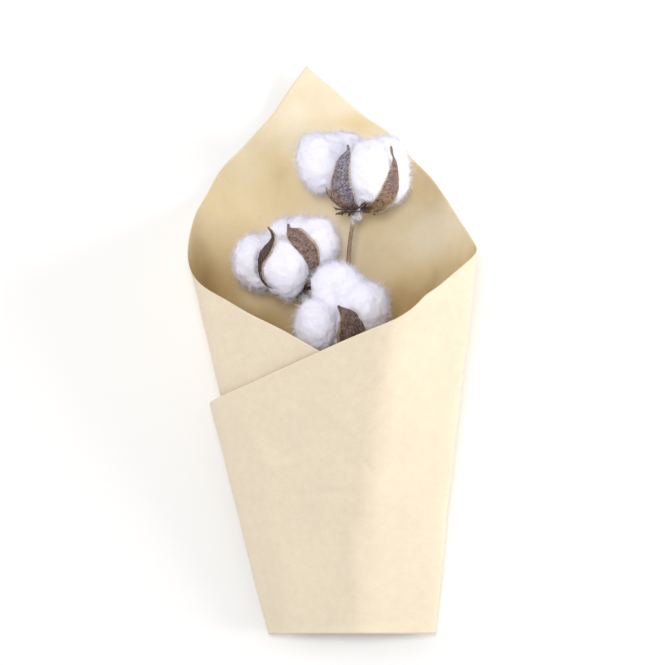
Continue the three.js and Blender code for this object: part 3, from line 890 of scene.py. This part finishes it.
def with_modifiers(mesh, *modifiers):
    """The mesh after modifiers, each given as its type and settings."""
    holder = bpy.data.objects.new("holder", mesh)
    bpy.context.scene.collection.objects.link(holder)
    for kind, settings in modifiers:
        modifier = holder.modifiers.new(kind.lower(), kind)
        for key, value in settings.items():
            setattr(modifier, key, value)
    evaluated = holder.evaluated_get(bpy.context.evaluated_depsgraph_get())
    shaped = bpy.data.meshes.new_from_object(evaluated)
    bpy.data.objects.remove(holder)
    bpy.data.meshes.remove(mesh)
    return shaped


def piece_tree(*names):
    """Finished pieces as one tree for distances."""
    bm = bmesh.new()
    for name in names:
        bm.from_mesh(bpy.data.objects[name].data)
    tree = BVHTree.FromBMesh(bm)
    bm.free()
    return tree


# The rolled sheet of paper


def spline_points(points, spans):
    """Points of a closed uniform cubic B-spline, in degrees across and up."""
    whole = np.floor(spans).astype(int)
    u = spans - whole
    weights = [
        (1 - u) ** 3 / 6,
        (3 * u**3 - 6 * u**2 + 4) / 6,
        (-3 * u**3 + 3 * u**2 + 3 * u + 1) / 6,
        u**3 / 6,
    ]
    return sum(weight[:, None] * points[(whole + k - 1) % LOOP] for k, weight in enumerate(weights))


def sharp_section(spans, reaches):
    """The cone's section with a sharp ridge, nearly straight from it to each side and past the left."""
    share = np.clip((reaches - FOOT_REACH) / (MOUTH_REACH - FOOT_REACH), 0, 1)[:, None]

    def at(places):
        foot = spline_points(FOOT_SECTION, places)
        return foot * (1 - share) + spline_points(MOUTH_SECTION, places) * share

    turn = np.where(spans < 0, spans + LOOP, spans)
    side = np.where(turn < RIDGE_SPAN, RIGHT_SIDE_SPAN, LEFT_SIDE_SPAN)
    along = ((turn - RIDGE_SPAN) / (side - RIDGE_SPAN))[:, None]
    straight = at(np.full_like(spans, RIDGE_SPAN)) * (1 - along) + at(side) * along
    weight = np.where(turn > LEFT_SIDE_SPAN, LIFT_OFF_SHARE, FACET_SHARE)
    rounded = (turn <= RIGHT_SIDE_SPAN) | ((turn >= LEFT_SIDE_SPAN) & (spans < 0))
    weight = np.where(rounded, 0, weight)[:, None]
    return at(spans) * (1 - weight) + straight * weight


def section_points(spans, reaches):
    """The same section with its ridge and sides rounded, by taking the mean of near places."""
    steps = (-1, -0.5, 0, 0.5, 1)
    return sum(sharp_section(spans + step * ROUNDING_SPAN, reaches) for step in steps) / len(steps)


def paper_middle(spans, reaches):
    """The middle of the paper at each span round the section and reach from the apex."""
    section = section_points(spans, reaches)
    across = AXIS_LEAN + np.radians(section[:, 0])
    up = np.radians(section[:, 1])
    lift = TIP_LIFT * np.clip((reaches - TIP_LIFT_REACH) / (CORNER_REACH - TIP_LIFT_REACH), 0, 1) ** 2
    return APEX + np.column_stack([
        reaches * np.sin(across) * np.cos(up),
        reaches * np.cos(across) * np.cos(up),
        reaches * np.sin(up) + lift,
    ])


def turns(spans):
    """How far round the flat sheet each span lies from the raised corner, in degrees at the apex."""
    table = np.arange(INNER_TOP_SPAN - 1, OUTER_SPAN + 1, 0.02)
    points = section_points(table, np.full_like(table, MOUTH_REACH))
    steps = np.linalg.norm(np.diff(points, axis=0), axis=1)
    totals = np.concatenate([[0], np.cumsum(steps)])
    return np.interp(spans, table, totals) - np.interp(CORNER_SPAN, table, totals)


def top_reach(spans):
    """The reach of the sheet's two upper edges, with their uneven places."""
    turn = turns(spans)
    edge = np.where(turn >= 0, RIGHT_EDGE, LEFT_EDGE)
    bows = sum(height * np.exp(-(((spans - middle) / width) ** 2)) for middle, height, width in EDGE_BOWS)
    return CORNER_REACH * np.sin(edge) / np.cos(np.radians(abs(turn)) - (math.pi / 2 - edge)) + bows


def foot_reach(spans):
    """The reach of the trimmed foot."""
    section = section_points(spans, np.full_like(spans, FOOT_REACH))
    across = AXIS_LEAN + np.radians(section[:, 0])
    up = np.radians(section[:, 1])
    return (FOOT_Y - APEX[1]) / (np.cos(across) * np.cos(up) - FOOT_SLOPE * np.sin(up))


def sheet_place(u, v):
    """The span and reach of each point of the sheet, with a column of points on the raised corner."""
    start = INNER_FOOT_SPAN + (INNER_TOP_SPAN - INNER_FOOT_SPAN) * v
    column = u * (PAPER_COLUMNS_LEFT + PAPER_COLUMNS_RIGHT) - PAPER_COLUMNS_LEFT
    left = CORNER_SPAN + (start - CORNER_SPAN) * np.clip(-column / PAPER_COLUMNS_LEFT, 0, 1)
    right = CORNER_SPAN + (OUTER_SPAN - CORNER_SPAN) * np.clip(column / PAPER_COLUMNS_RIGHT, 0, 1)
    spans = np.where(column < 0, left, right)
    foot = foot_reach(spans)
    return spans, foot + (top_reach(spans) - foot) * v


def flat_sheet(spans, reaches):
    """The same points on the sheet laid flat, in millimetres from the apex."""
    turn = np.radians(turns(spans))
    return np.column_stack([reaches * np.sin(turn), reaches * np.cos(turn)])


def crease_height(flat):
    """Small handling creases: short soft folds in the sheet, with heights from -1 to 1."""
    random = np.random.default_rng(CREASE_SEED)
    total = np.zeros(len(flat))
    for _ in range(CREASES):
        start = np.array([random.uniform(-330, 230), random.uniform(330, 640)])
        angle = random.normal(0.9, 0.55) * random.choice([-1, 1])
        direction = np.array([math.sin(angle), math.cos(angle)])
        length = random.uniform(18, 75)
        width = random.uniform(1.6, 3.6)
        away = flat - start
        along = away @ direction
        aside = away @ np.array([direction[1], -direction[0]]) - CREASE_BOW * (along - length / 2) ** 2
        fade = smooth(along, -length * 0.3, length * 0.2) * (1 - smooth(along, length * 0.7, length * 1.2))
        total += random.uniform(-1, 1) * fade * np.exp(-((aside / width) ** 2))
    return total


def dent_height(points):
    """The dents on the front of the wrap, seen from above, in millimetres."""
    total = np.zeros(len(points))
    for x, y, length, width, direction, height in FRONT_DENTS:
        away = points[:, :2] - np.array([x, y])
        way = np.array([math.cos(math.radians(direction)), math.sin(math.radians(direction))])
        along = away @ way / length
        aside = away @ np.array([-way[1], way[0]]) / width
        total += height * np.exp(-(along**4) - aside**2)
    return total


def wrap_mesh(settings, finishes):
    """The whole sheet, rolled up, with one finish inside and one outside."""

    def place(u, v):
        spans, reaches = sheet_place(u, v)
        middle = paper_middle(spans, reaches)
        small = 0.02
        along = paper_middle(spans, reaches + 1) - paper_middle(spans, reaches - 1)
        around = paper_middle(spans + small, reaches) - paper_middle(spans - small, reaches)
        outward = unit(np.cross(along, around))
        flat = flat_sheet(spans, reaches)
        spots = np.column_stack([flat, np.zeros(len(flat))])
        waves = layered_noise(spots, PAPER_WAVES)
        height = settings.waves * waves / MM + settings.creases * crease_height(flat) / MM
        height += dent_height(middle) * smooth(middle[:, 2], *FRONT_HEIGHTS)
        on_back = 1 - smooth(middle[:, 2], *BACK_HEIGHTS)
        lap = smooth(spans, LAP_START_SPAN, LAP_FULL_SPAN) * LAYER_STEP
        surface = (CAD_PAPER_THICK - settings.thickness / MM) / 2
        raised = middle + outward * (surface + lap + height * (1 - on_back))[:, None]
        raised[:, 2] = np.maximum(raised[:, 2], -surface)
        return in_frame(raised)

    def flat(u, v):
        return flat_sheet(*sheet_place(u, v)) / 100

    columns = PAPER_COLUMNS_LEFT + PAPER_COLUMNS_RIGHT
    mesh = bent_grid(columns, PAPER_ROWS, place, "sheet", flat)
    points = vectors_of(mesh.vertices) / MM - np.array(VIEW_MIDDLE)
    # The inner side's tone is painted shade: darker and warmer far down the cone and under the front rim.
    rim_line = MOUTH_FOOT[1] + MOUTH_SLOPE * abs(points[:, 0] - MOUTH_FOOT[0])
    above_rim = points[:, 1] - rim_line
    deep = 1 - smooth(above_rim, *DEEP_SHADE_HEIGHTS)
    painted_rim_shade = 1 - smooth(above_rim, *RIM_SHADE_HEIGHTS)
    depth = INSIDE_TONE + DEEP_SHADE * deep + RIM_SHADE * painted_rim_shade
    # Painted shadows and painted light: patches that darken or lighten the inner side's tone.
    for x, y, width, length, amount in PAINTED_INSIDE_SHADE_AND_LIGHT:
        across = (points[:, 0] - x) / width
        along = (points[:, 1] - y) / length
        depth += amount * np.exp(-(across**2) - along**2)
    mesh.attributes.new("depth", "FLOAT", "POINT").data.foreach_set("value", depth)
    walls = {
        "thickness": settings.thickness,
        "offset": 0.0,
        "use_even_offset": False,
        "material_offset": 1,
    }
    return with_modifiers(dressed(mesh, *finishes), ("SOLIDIFY", walls))


# The dried burs


def blade_points(valve):
    """A function that gives a valve's outer side at u across and v up, with its middle and its way out."""
    rows = np.array(valve["rows"], dtype=float)
    face = np.array(valve["face"], dtype=float)
    face /= np.linalg.norm(face)

    def place(u, v):
        middle = curve_through(rows, v)
        along = unit(curve_through(rows, v + 0.01)[:, :3] - curve_through(rows, v - 0.01)[:, :3])
        outward = unit(face - along * (along @ face)[:, None])
        across = np.cross(along, outward)
        offset = 2 * u - 1
        half = np.maximum(middle[:, 3], NARROWEST_HALF)
        nicks = value_noise(np.column_stack([v * 40, np.sign(offset) * 9, v * 3]), 1.0)
        ragged = 1 + VALVE_RAGGED * nicks * abs(offset) ** 3
        rib = VALVE_RIB * np.exp(-((offset / 0.12) ** 2)) * smooth(v, 0, 0.2) * (1 - smooth(v, 0.5, 0.9))
        flare = VALVE_FLARE * half * smooth(abs(offset), 0.75, 1)
        folds = value_noise(np.column_stack([offset * 5, v * 24, v * 0 + half[0]]), 1.6)
        crinkle = VALVE_CRINKLE * folds * smooth(half, 0.8, 3)
        height = -VALVE_CUPPING * offset**2 * half + rib + flare + crinkle
        return middle[:, :3] + across * (offset * half * ragged)[:, None] + outward * height[:, None]

    return place


def valve_mesh(boll, valve):
    """The outer side of a valve, with its tone and the width of its pale margin at each point."""
    base = np.array(boll["base"])
    blade = blade_points(valve)
    amount, start, end = valve.get("pale", (0, 0, 1))
    pale = []

    def place(u, v):
        length = smooth(v, start, start + PALE_FADE) * (1 - smooth(v, end - PALE_FADE, end))
        pale.append(0.5 + amount * length)
        return in_frame(blade(u, v) + base)

    mesh = bent_grid(VALVE_COLUMNS, VALVE_ROWS, place, "blade")
    tone = mesh.attributes.new("tone", "FLOAT_COLOR", "POINT")
    colours = np.column_stack([np.tile(valve["tone"], (len(mesh.vertices), 1)), pale[0]])
    tone.data.foreach_set("color", colours.ravel())
    return mesh


def axis_turn(boll):
    """The turn that takes +Y to the boll's axis."""
    return np.array(Vector((0, 1, 0)).rotation_difference(Vector(boll["axis"])).to_matrix())


def bract_meshes(name, boll):
    """The torn, dried bracts round the cup: narrow ragged blades that bend out, up and down."""
    random = np.random.default_rng(SEEDS[name])
    turn = axis_turn(boll)
    base = np.array(boll["base"])
    meshes = []
    for index in range(BRACTS):
        angle = (index + 0.7 * random.random()) / BRACTS * 2 * math.pi
        outward = np.array([math.cos(angle), 0, math.sin(angle)])
        side = np.array([-math.sin(angle), 0, math.cos(angle)])
        reach = random.uniform(*BRACT_REACH)
        rise = random.uniform(*BRACT_LIFT)
        width = random.uniform(*BRACT_WIDTH)
        broken = BROKEN_BRACTS.get(name, (0, 0))
        if broken[0] < math.degrees(angle) < broken[1]:
            reach = BROKEN_REACH
        twist = random.uniform(*BRACT_TWIST)
        curl = random.uniform(*BRACT_CURL)
        seed = random.uniform(0, 50)

        def place(u, v):
            offset = 2 * u - 1
            torn = 1 + 0.5 * value_noise(np.column_stack([v * 9, np.sign(offset) * 5, v * 0 + seed]), 1.0)
            half = width * (1 - 0.8 * v) * torn
            up = BRACT_RISE + rise * v**1.6 + twist * offset * half * v + 0.25 * np.sin(9 * v + seed)
            points = (
                outward * (CUP_RADIUS * 0.6 + reach * v)[:, None]
                + side * (offset * half + curl * v**2)[:, None]
                + np.array([0, 1, 0]) * up[:, None]
            )
            return in_frame(points @ turn.T + base)

        meshes.append(bent_grid(BRACT_COLUMNS, BRACT_ROWS, place, "blade"))
    return meshes


def cup_mesh(name, boll):
    """The shallow cup that the valves grow from, turned from its profile and roughened."""
    bm = bmesh.new()
    corners = [bm.verts.new((radius, height, 0)) for radius, height in CUP_PROFILE]
    edges = [bm.edges.new(pair) for pair in zip(corners, corners[1:])]
    bmesh.ops.spin(
        bm,
        geom=corners + edges,
        cent=(0, 0, 0),
        axis=(0, 1, 0),
        angle=2 * math.pi,
        steps=CUP_STEPS,
        use_merge=True,
    )
    bmesh.ops.remove_doubles(bm, verts=bm.verts, dist=1e-4)
    bmesh.ops.subdivide_edges(bm, edges=bm.edges, cuts=1, use_grid_fill=True)
    turn = Matrix(axis_turn(boll))
    for vert in bm.verts:
        around = math.atan2(vert.co.z, vert.co.x)
        lobes = 1 + CUP_LOBE_DEPTH * math.sin(CUP_LOBES * around + SEEDS[name])
        rough = 1 + CUP_ROUGHNESS * noise.noise(vert.co * 0.9)
        local = Vector((vert.co.x * lobes * rough, vert.co.y, vert.co.z * lobes * rough))
        vert.co = in_frame(turn @ local + Vector(boll["base"]))
    bmesh.ops.recalc_face_normals(bm, faces=bm.faces)
    return finished(bm, "cup")


# The lint


def valve_guard(boll, valves):
    """A tree of the valves' outer sides, to keep the lint behind them."""
    whole = bmesh.new()
    for valve in valves:
        mesh = valve_mesh(boll, valve)
        whole.from_mesh(mesh)
        bpy.data.meshes.remove(mesh)
    tree = BVHTree.FromBMesh(whole)
    whole.free()
    return tree


def pressed_behind(points, mesh, boll):
    """The lint's points after each valve has pressed in what lies before it, from above or from below."""
    edges = np.empty(len(mesh.edges) * 2, dtype=int)
    mesh.edges.foreach_get("vertices", edges)
    edges = edges.reshape(-1, 2)
    degree = np.maximum(np.bincount(edges.ravel(), minlength=len(points)), 1)
    for valve in boll["valves"]:
        guard = valve_guard(boll, [valve])
        way = Vector((0, 0, 1 if valve["face"][2] > 0 else -1))
        corner = in_frame(np.array(valve["rows"])[:, :3] + np.array(boll["base"]))
        half = max(row[3] for row in valve["rows"]) * MM
        spots = points[:, :2]
        low = corner[:, :2].min(0) - half
        high = corner[:, :2].max(0) + half
        inside = np.all((spots > low) & (spots < high), axis=1)
        near = points @ np.array(way) > corner.mean(0)[2] * way.z - PRESS_DEPTH * MM
        push = np.zeros(len(points))
        for index in np.nonzero(inside & near)[0]:
            start = Vector(points[index]) + way * PRESS_START * MM
            found = guard.ray_cast(start, -way, PRESS_REACH * MM)[0]
            if found is not None:
                push[index] = max(0, (Vector(points[index]) - found).dot(way) + LINT_CLEARANCE * MM)
        spread = push.copy()
        for _ in range(PRESS_ROUNDS):
            sums = np.bincount(edges[:, 0], spread[edges[:, 1]], len(points))
            sums += np.bincount(edges[:, 1], spread[edges[:, 0]], len(points))
            spread = np.maximum(push, sums / degree)
        points = points - np.array(way) * spread[:, None]
    return points


def lint_body(name, boll, settings):
    """The locks grown together, tufted, and pressed behind the valves."""
    bm = bmesh.new()
    base = Vector(boll["base"])
    for x, y, z, width, height, depth, lean in boll["locks"]:
        middle = Vector(in_frame(Vector((x, y, z)) + base))
        sizes = Matrix.Diagonal((width * MM, height * MM, depth * MM, 1))
        matrix = Matrix.Translation(middle) @ Matrix.Rotation(math.radians(lean), 4, "Z") @ sizes
        bmesh.ops.create_icosphere(bm, subdivisions=5, radius=1.0, matrix=matrix)
    remesh = {"mode": "VOXEL", "voxel_size": settings.grain}
    mesh = with_modifiers(finished(bm, "locks"), ("REMESH", remesh), ("SMOOTH", LINT_SMOOTHING))
    points = vectors_of(mesh.vertices)
    normals = np.array([vertex.normal for vertex in mesh.vertices])
    tufts = layered_noise(points / MM + SEEDS[name], TUFT_LAYERS)
    points = points + normals * (LINT_SWELL * MM + settings.tufts * tufts)[:, None]
    points = pressed_behind(points, mesh, boll)
    mesh.vertices.foreach_set("co", points.ravel())
    mesh.update()
    return mesh


def strand_strips(count, steps):
    """Flat strips side by side, one for each strand: a grid without every second column of faces."""
    bm = bmesh.new()
    bmesh.ops.create_grid(bm, x_segments=2 * count - 1, y_segments=steps, size=0.5)
    bm.faces.ensure_lookup_table()
    width = 1.0 / (2 * count - 1)
    gaps = [face for face in bm.faces if int((face.calc_center_median().x + 0.5) / width) % 2 == 1]
    bmesh.ops.delete(bm, geom=gaps, context="FACES")
    mesh = finished(bm, "strips")
    points = vectors_of(mesh.vertices)
    column = np.rint((points[:, 0] + 0.5) / width).astype(int)
    row = np.rint((points[:, 1] + 0.5) * steps).astype(int)
    return mesh, column // 2, column % 2, row


def surface_samples(mesh, count, random):
    """Points spread evenly over a mesh, with their normals."""
    areas = np.empty(len(mesh.polygons))
    mesh.polygons.foreach_get("area", areas)
    chosen = random.choice(len(areas), size=count, p=areas / areas.sum())
    centres = vectors_of(mesh.polygons, "center")[chosen]
    normals = vectors_of(mesh.polygons, "normal")[chosen]
    side = unit(np.cross(normals, (0.3, 0.5, 0.81)))
    a, b = random.uniform(-0.5, 0.5, (2, count, 1)) * np.sqrt(areas[chosen])[:, None]
    return centres + a * side + b * np.cross(normals, side), normals


def strand_lines(roots, normals, random):
    """The line of each strand, as STRAND_STEPS + 1 points."""
    count = len(roots)
    kinds = random.choice(len(STRAND_KINDS), size=count, p=[kind[0] for kind in STRAND_KINDS])
    ranges = [[low, high, *start, *end, curl] for _, low, high, start, end, curl in STRAND_KINDS]
    table = np.array(ranges)[kinds]
    lengths = random.uniform(table[:, 0], table[:, 1]) * MM
    first = np.radians(random.uniform(table[:, 2], table[:, 3]))
    last = np.radians(random.uniform(table[:, 4], table[:, 5]))
    curl = np.radians(random.uniform(-table[:, 6], table[:, 6]))
    flow = vector_noise(roots / MM, STRAND_FLOW)
    tangent = unit(flow - normals * np.sum(flow * normals, axis=1, keepdims=True))
    aside = np.cross(normals, tangent)
    start = random.normal(0, 0.7, count)
    lines = [roots - normals * STRAND_ROOT * MM]
    for step in range(STRAND_STEPS):
        share = (step + 0.5) / STRAND_STEPS
        climb = first + (last - first) * share
        heading = start + curl * share
        flat = tangent * np.cos(heading)[:, None] + aside * np.sin(heading)[:, None]
        direction = flat * np.cos(climb)[:, None] + normals * np.sin(climb)[:, None]
        lines.append(lines[-1] + direction * (lengths / STRAND_STEPS)[:, None])
    return np.stack(lines, axis=1)


def clear_of_valves(lines, guard, random):
    """Which strands stay off the valves' outer sides. A few may cross them."""
    keep = np.ones(len(lines), dtype=bool)
    for index, line in enumerate(lines):
        if random.random() < VALVE_CROSSING_SHARE:
            continue
        for point in line[1:]:
            found, outward, _, _ = guard.find_nearest(Vector(point), VALVE_NEAR * MM)
            if found is None:
                continue
            away = Vector(point) - found
            aside = (away - outward * away.dot(outward)).length
            if away.dot(outward) > -VALVE_BEHIND * MM and aside < VALVE_ASIDE * MM:
                keep[index] = False
                break
    return keep


def clear_of_paper(lines, paper):
    """Which strands don't pass through the paper."""
    keep = np.ones(len(lines), dtype=bool)
    for index, line in enumerate(lines):
        start = Vector(line[0])
        way = Vector(line[-1]) - start
        keep[index] = paper.ray_cast(start, way.normalized(), way.length)[0] is None
    return keep


def off_bracts(lines, bracts, random):
    """Which strands leave the bracts bare, seen from above. Some may cross them."""
    down = Vector((0, 0, -1))
    keep = np.ones(len(lines), dtype=bool)
    for index, line in enumerate(lines):
        if random.random() < BRACT_CROSSING_SHARE:
            continue
        below = (bracts.ray_cast(Vector(point), down, BRACT_BELOW * MM)[0] for point in line[1:])
        keep[index] = all(found is None for found in below)
    return keep


def strand_mesh(lines, normals, width, random):
    """Thin tapering strips along the lines, about flat on the lint and shaded like it."""
    count = len(lines)
    mesh, strand, side, row = strand_strips(count, STRAND_STEPS)
    ways = unit(np.gradient(lines, axis=1))
    one = unit(np.cross(ways, np.broadcast_to(normals[:, None, :], ways.shape)))
    two = np.cross(one, ways)
    first_twist = random.normal(0, 0.5, (count, 1))
    more_twist = random.uniform(-0.6, 0.6, (count, 1))
    twist = first_twist + more_twist * np.linspace(0, 1, STRAND_STEPS + 1)
    flat = one * np.cos(twist)[:, :, None] + two * np.sin(twist)[:, :, None]
    widths = width * random.uniform(0.6, 1.3, count)
    offset = (side - 0.5) * widths[strand] * STRAND_TAPER[row]
    points = lines[strand, row] + flat[strand, row] * offset[:, None]
    mesh.vertices.foreach_set("co", points.ravel())
    mesh.update()
    shading = unit(normals + random.normal(0, 0.08, normals.shape))
    mesh.normals_split_custom_set_from_vertices(shading[strand].tolist())
    return mesh


# The stems


def stem_line(boll):
    """The stem's rows of points from under the cup to the cut end."""
    neck = np.array(boll["axis"], dtype=float)
    neck /= np.linalg.norm(neck)
    start = [-JOIN_GAP * neck, -KNOB_RADIUS * neck]
    return np.vstack([start, np.array(boll["stem"], dtype=float)])


def stem_mesh(name, boll, settings):
    """A tube along the stem's line, with a downy knob, bark ribs and worn leaf scars."""
    rows = stem_line(boll)
    fine = curve_through(rows, np.linspace(0, 1, 400))
    reach = np.concatenate([[0], np.cumsum(np.linalg.norm(np.diff(fine, axis=0), axis=1))])
    base = np.array(boll["base"])
    seed = SEEDS[name]

    def centre(distance):
        return np.column_stack([np.interp(distance, reach, fine[:, k]) for k in range(3)])

    def place(u, v):
        distance = (1 - v) ** STEM_CROWDING * reach[-1]
        middle = centre(distance)
        way = unit(centre(distance + 1.5) - centre(distance - 1.5))
        across = unit(np.array([1.0, 0, 0]) - way * way[:, :1])
        up = np.cross(way, across)
        angle = u * 2 * math.pi
        knob = (KNOB_RADIUS - STEM_TOP_RADIUS) * np.exp(-(((distance - KNOB_REACH) / KNOB_REACH) ** 2))
        widening = np.minimum(1, distance / reach[-1] * 1.25)
        thick = STEM_TOP_RADIUS + (STEM_FOOT_RADIUS - STEM_TOP_RADIUS) * widening
        past = distance + NODE_SHIFT
        from_node = past % NODE_SPACING - NODE_SPACING / 2
        scar = SCAR_HEIGHT * np.exp(-((from_node / SCAR_LENGTH) ** 2)) * smooth(distance, 12, 24)
        lobe = scar * (0.5 + 0.5 * np.cos(angle - np.floor(past / NODE_SPACING) * NODE_TURN))
        ring = np.column_stack([np.cos(angle) * 2.2, np.sin(angle) * 2.2, distance * 0.08 + seed])
        ribs = settings.bark / MM * value_noise(ring * [2.2, 2.2, 1], 1.0) * smooth(thick, 1, 1.6)
        downy = DOWN_HEIGHT * value_noise(ring * [1, 1, 9], 1.0) * np.exp(-(((distance - 4) / 4) ** 2))
        closing = np.where(distance < 0.05, 0.55, 1)
        radius = (thick + knob + lobe + ribs + downy) * closing
        ring_out = across * np.cos(angle)[:, None] + up * np.sin(angle)[:, None]
        return in_frame(middle + ring_out * radius[:, None] + base)

    def flat(u, v):
        distance = (1 - v) ** STEM_CROWDING * reach[-1]
        return np.column_stack([u, distance])

    mesh = bent_grid(STEM_SIDES, STEM_ROWS, place, "bark", flat)
    bm = bmesh.new()
    bm.from_mesh(mesh)
    bmesh.ops.remove_doubles(bm, verts=bm.verts, dist=1e-6)
    rims = [edge for edge in bm.edges if edge.is_boundary]
    bmesh.ops.holes_fill(bm, edges=rims, sides=0)
    bmesh.ops.recalc_face_normals(bm, faces=bm.faces)
    bm.to_mesh(mesh)
    bm.free()
    return mesh


# Steps of the add-on


class COTTON_OT_stage(bpy.types.Operator):
    """Add the pale floor, the soft light and the camera"""

    bl_idname = "cotton.stage"
    bl_label = "Stage"

    def execute(self, context):
        settings = context.scene.cotton_stage
        bm = bmesh.new()
        bmesh.ops.create_grid(bm, x_segments=1, y_segments=1, size=settings.floor_size / 2)
        finish = Recipe("floor_finish").surface(base_color=tuple(settings.floor_colour), roughness=0.95)
        floor = bpy.data.objects.new("floor", dressed(finished(bm, "floor"), finish))
        context.scene.collection.objects.link(floor)

        world = bpy.data.worlds.new("soft_sky")
        world.use_nodes = True
        sky = world.node_tree.nodes["Background"]
        sky.inputs["Color"].default_value = (1, 1, 1, 1)
        sky.inputs["Strength"].default_value = settings.sky
        context.scene.world = world

        for name, (place, size, colour) in LAMPS.items():
            light = bpy.data.lights.new(name + "_light", "AREA")
            light.shape = "DISK"
            light.size = size
            light.energy = getattr(settings, name + "_power")
            light.color = colour
            holder = bpy.data.objects.new(name + "_light", light)
            holder.location = place
            way = LAMP_TARGET - Vector(place)
            holder.rotation_euler = way.to_track_quat("-Z", "Y").to_euler()
            context.scene.collection.objects.link(holder)

        camera = bpy.data.cameras.new("camera")
        camera.sensor_fit = "HORIZONTAL"
        camera.sensor_width = SENSOR_WIDTH
        camera.lens = SENSOR_WIDTH * FRAMED_DISTANCE / FRAMED_WIDTH
        camera.clip_start = 0.05
        holder = bpy.data.objects.new("camera", camera)
        holder.location = (VIEW_MIDDLE + Vector((0, 0, CAMERA_HEIGHT))) * MM
        context.scene.collection.objects.link(holder)
        context.scene.camera = holder
        context.scene.view_settings.view_transform = "Standard"
        return {"FINISHED"}


class COTTON_OT_paper(bpy.types.Operator):
    """Roll the sheet of kraft paper round the stems"""

    bl_idname = "cotton.paper"
    bl_label = "Kraft paper"

    def execute(self, context):
        settings = context.scene.cotton_paper
        finishes = [kraft_finish(settings, inside) for inside in (True, False)]
        piece_of("paper_sheet", wrap_mesh(settings, finishes), ["paper_wrap"])
        return {"FINISHED"}


class COTTON_OT_burs(bpy.types.Operator):
    """Grow the dried valves, bracts and cup of each boll"""

    bl_idname = "cotton.burs"
    bl_label = "Burs"

    def execute(self, context):
        settings = context.scene.cotton_bur
        finishes = valve_finishes(settings)
        brown = bract_finish()
        walls = {
            "thickness": settings.thickness,
            "offset": -1.0,
            "material_offset": 1,
            "material_offset_rim": 2,
        }
        thin = {"thickness": BRACT_THICK * MM, "offset": 0.0}
        for name, boll in BOLLS.items():
            blades = joined([valve_mesh(boll, valve) for valve in boll["valves"]])
            valves = with_modifiers(dressed(blades, *finishes), ("SOLIDIFY", walls))
            piece_of("valves_" + name, valves, ["bur_" + name])
            torn = with_modifiers(joined(bract_meshes(name, boll)), ("SOLIDIFY", thin))
            bracts = dressed(joined([torn, cup_mesh(name, boll)]), brown)
            piece_of("bracts_" + name, bracts)
        return {"FINISHED"}


class COTTON_OT_lint(bpy.types.Operator):
    """Fill each boll with tufted lint and loose fibres"""

    bl_idname = "cotton.lint"
    bl_label = "Lint"

    def execute(self, context):
        settings = context.scene.cotton_lint
        body_finish = lint_finish(settings)
        loose_finish = fibre_finish(settings)
        paper = piece_tree("paper_sheet")
        bracts = piece_tree(*["bracts_" + name for name in BOLLS])
        for name, boll in BOLLS.items():
            random = np.random.default_rng(SEEDS[name])
            body = lint_body(name, boll, settings)
            roots, normals = surface_samples(body, settings.fibres, random)
            lines = strand_lines(roots, normals, random)
            guard = valve_guard(boll, boll["valves"])
            clear = clear_of_valves(lines, guard, random) & clear_of_paper(lines, paper)
            clear &= off_bracts(lines, bracts, random)
            piece_of("lint_body_" + name, dressed(body, body_finish), ["lint_" + name])
            loose = strand_mesh(lines[clear], normals[clear], settings.fibre_width, random)
            fluff = piece_of("lint_fibres_" + name, dressed(loose, loose_finish))
            fluff.visible_shadow = False
        return {"FINISHED"}


class COTTON_OT_stems(bpy.types.Operator):
    """Draw the dried stems down through the paper"""

    bl_idname = "cotton.stems"
    bl_label = "Stems"

    def execute(self, context):
        settings = context.scene.cotton_stem
        finish = stem_finish(settings)
        for name, boll in BOLLS.items():
            mesh = dressed(stem_mesh(name, boll, settings), finish)
            piece_of("stem_bark_" + name, mesh, ["stem_" + name])
        return {"FINISHED"}


SETTINGS = {
    "cotton_paper": PaperSettings,
    "cotton_lint": LintSettings,
    "cotton_bur": BurSettings,
    "cotton_stem": StemSettings,
    "cotton_stage": StageSettings,
}
OPERATORS = [COTTON_OT_stage, COTTON_OT_paper, COTTON_OT_burs, COTTON_OT_stems, COTTON_OT_lint]


class COTTON_PT_bunch(bpy.types.Panel):
    """Settings and steps of the cotton bunch"""

    bl_label = "Cotton Stem Bunch"
    bl_space_type = "VIEW_3D"
    bl_region_type = "UI"
    bl_category = "Cotton"

    def draw(self, context):
        for group, kind in SETTINGS.items():
            box = self.layout.box()
            for name in kind.__annotations__:
                box.prop(getattr(context.scene, group), name)
        for operator in OPERATORS:
            self.layout.operator(operator.bl_idname)


def register():
    for kind in [*SETTINGS.values(), *OPERATORS, COTTON_PT_bunch]:
        bpy.utils.register_class(kind)
    for group, kind in SETTINGS.items():
        setattr(bpy.types.Scene, group, PointerProperty(type=kind))


def unregister():
    for group in SETTINGS:
        delattr(bpy.types.Scene, group)
    for kind in reversed([*SETTINGS.values(), *OPERATORS, COTTON_PT_bunch]):
        bpy.utils.unregister_class(kind)


def main():
    register()
    bpy.ops.cotton.stage()
    bpy.ops.cotton.paper()
    bpy.ops.cotton.burs()
    bpy.ops.cotton.stems()
    bpy.ops.cotton.lint()


if __name__ == "__main__":
    main()
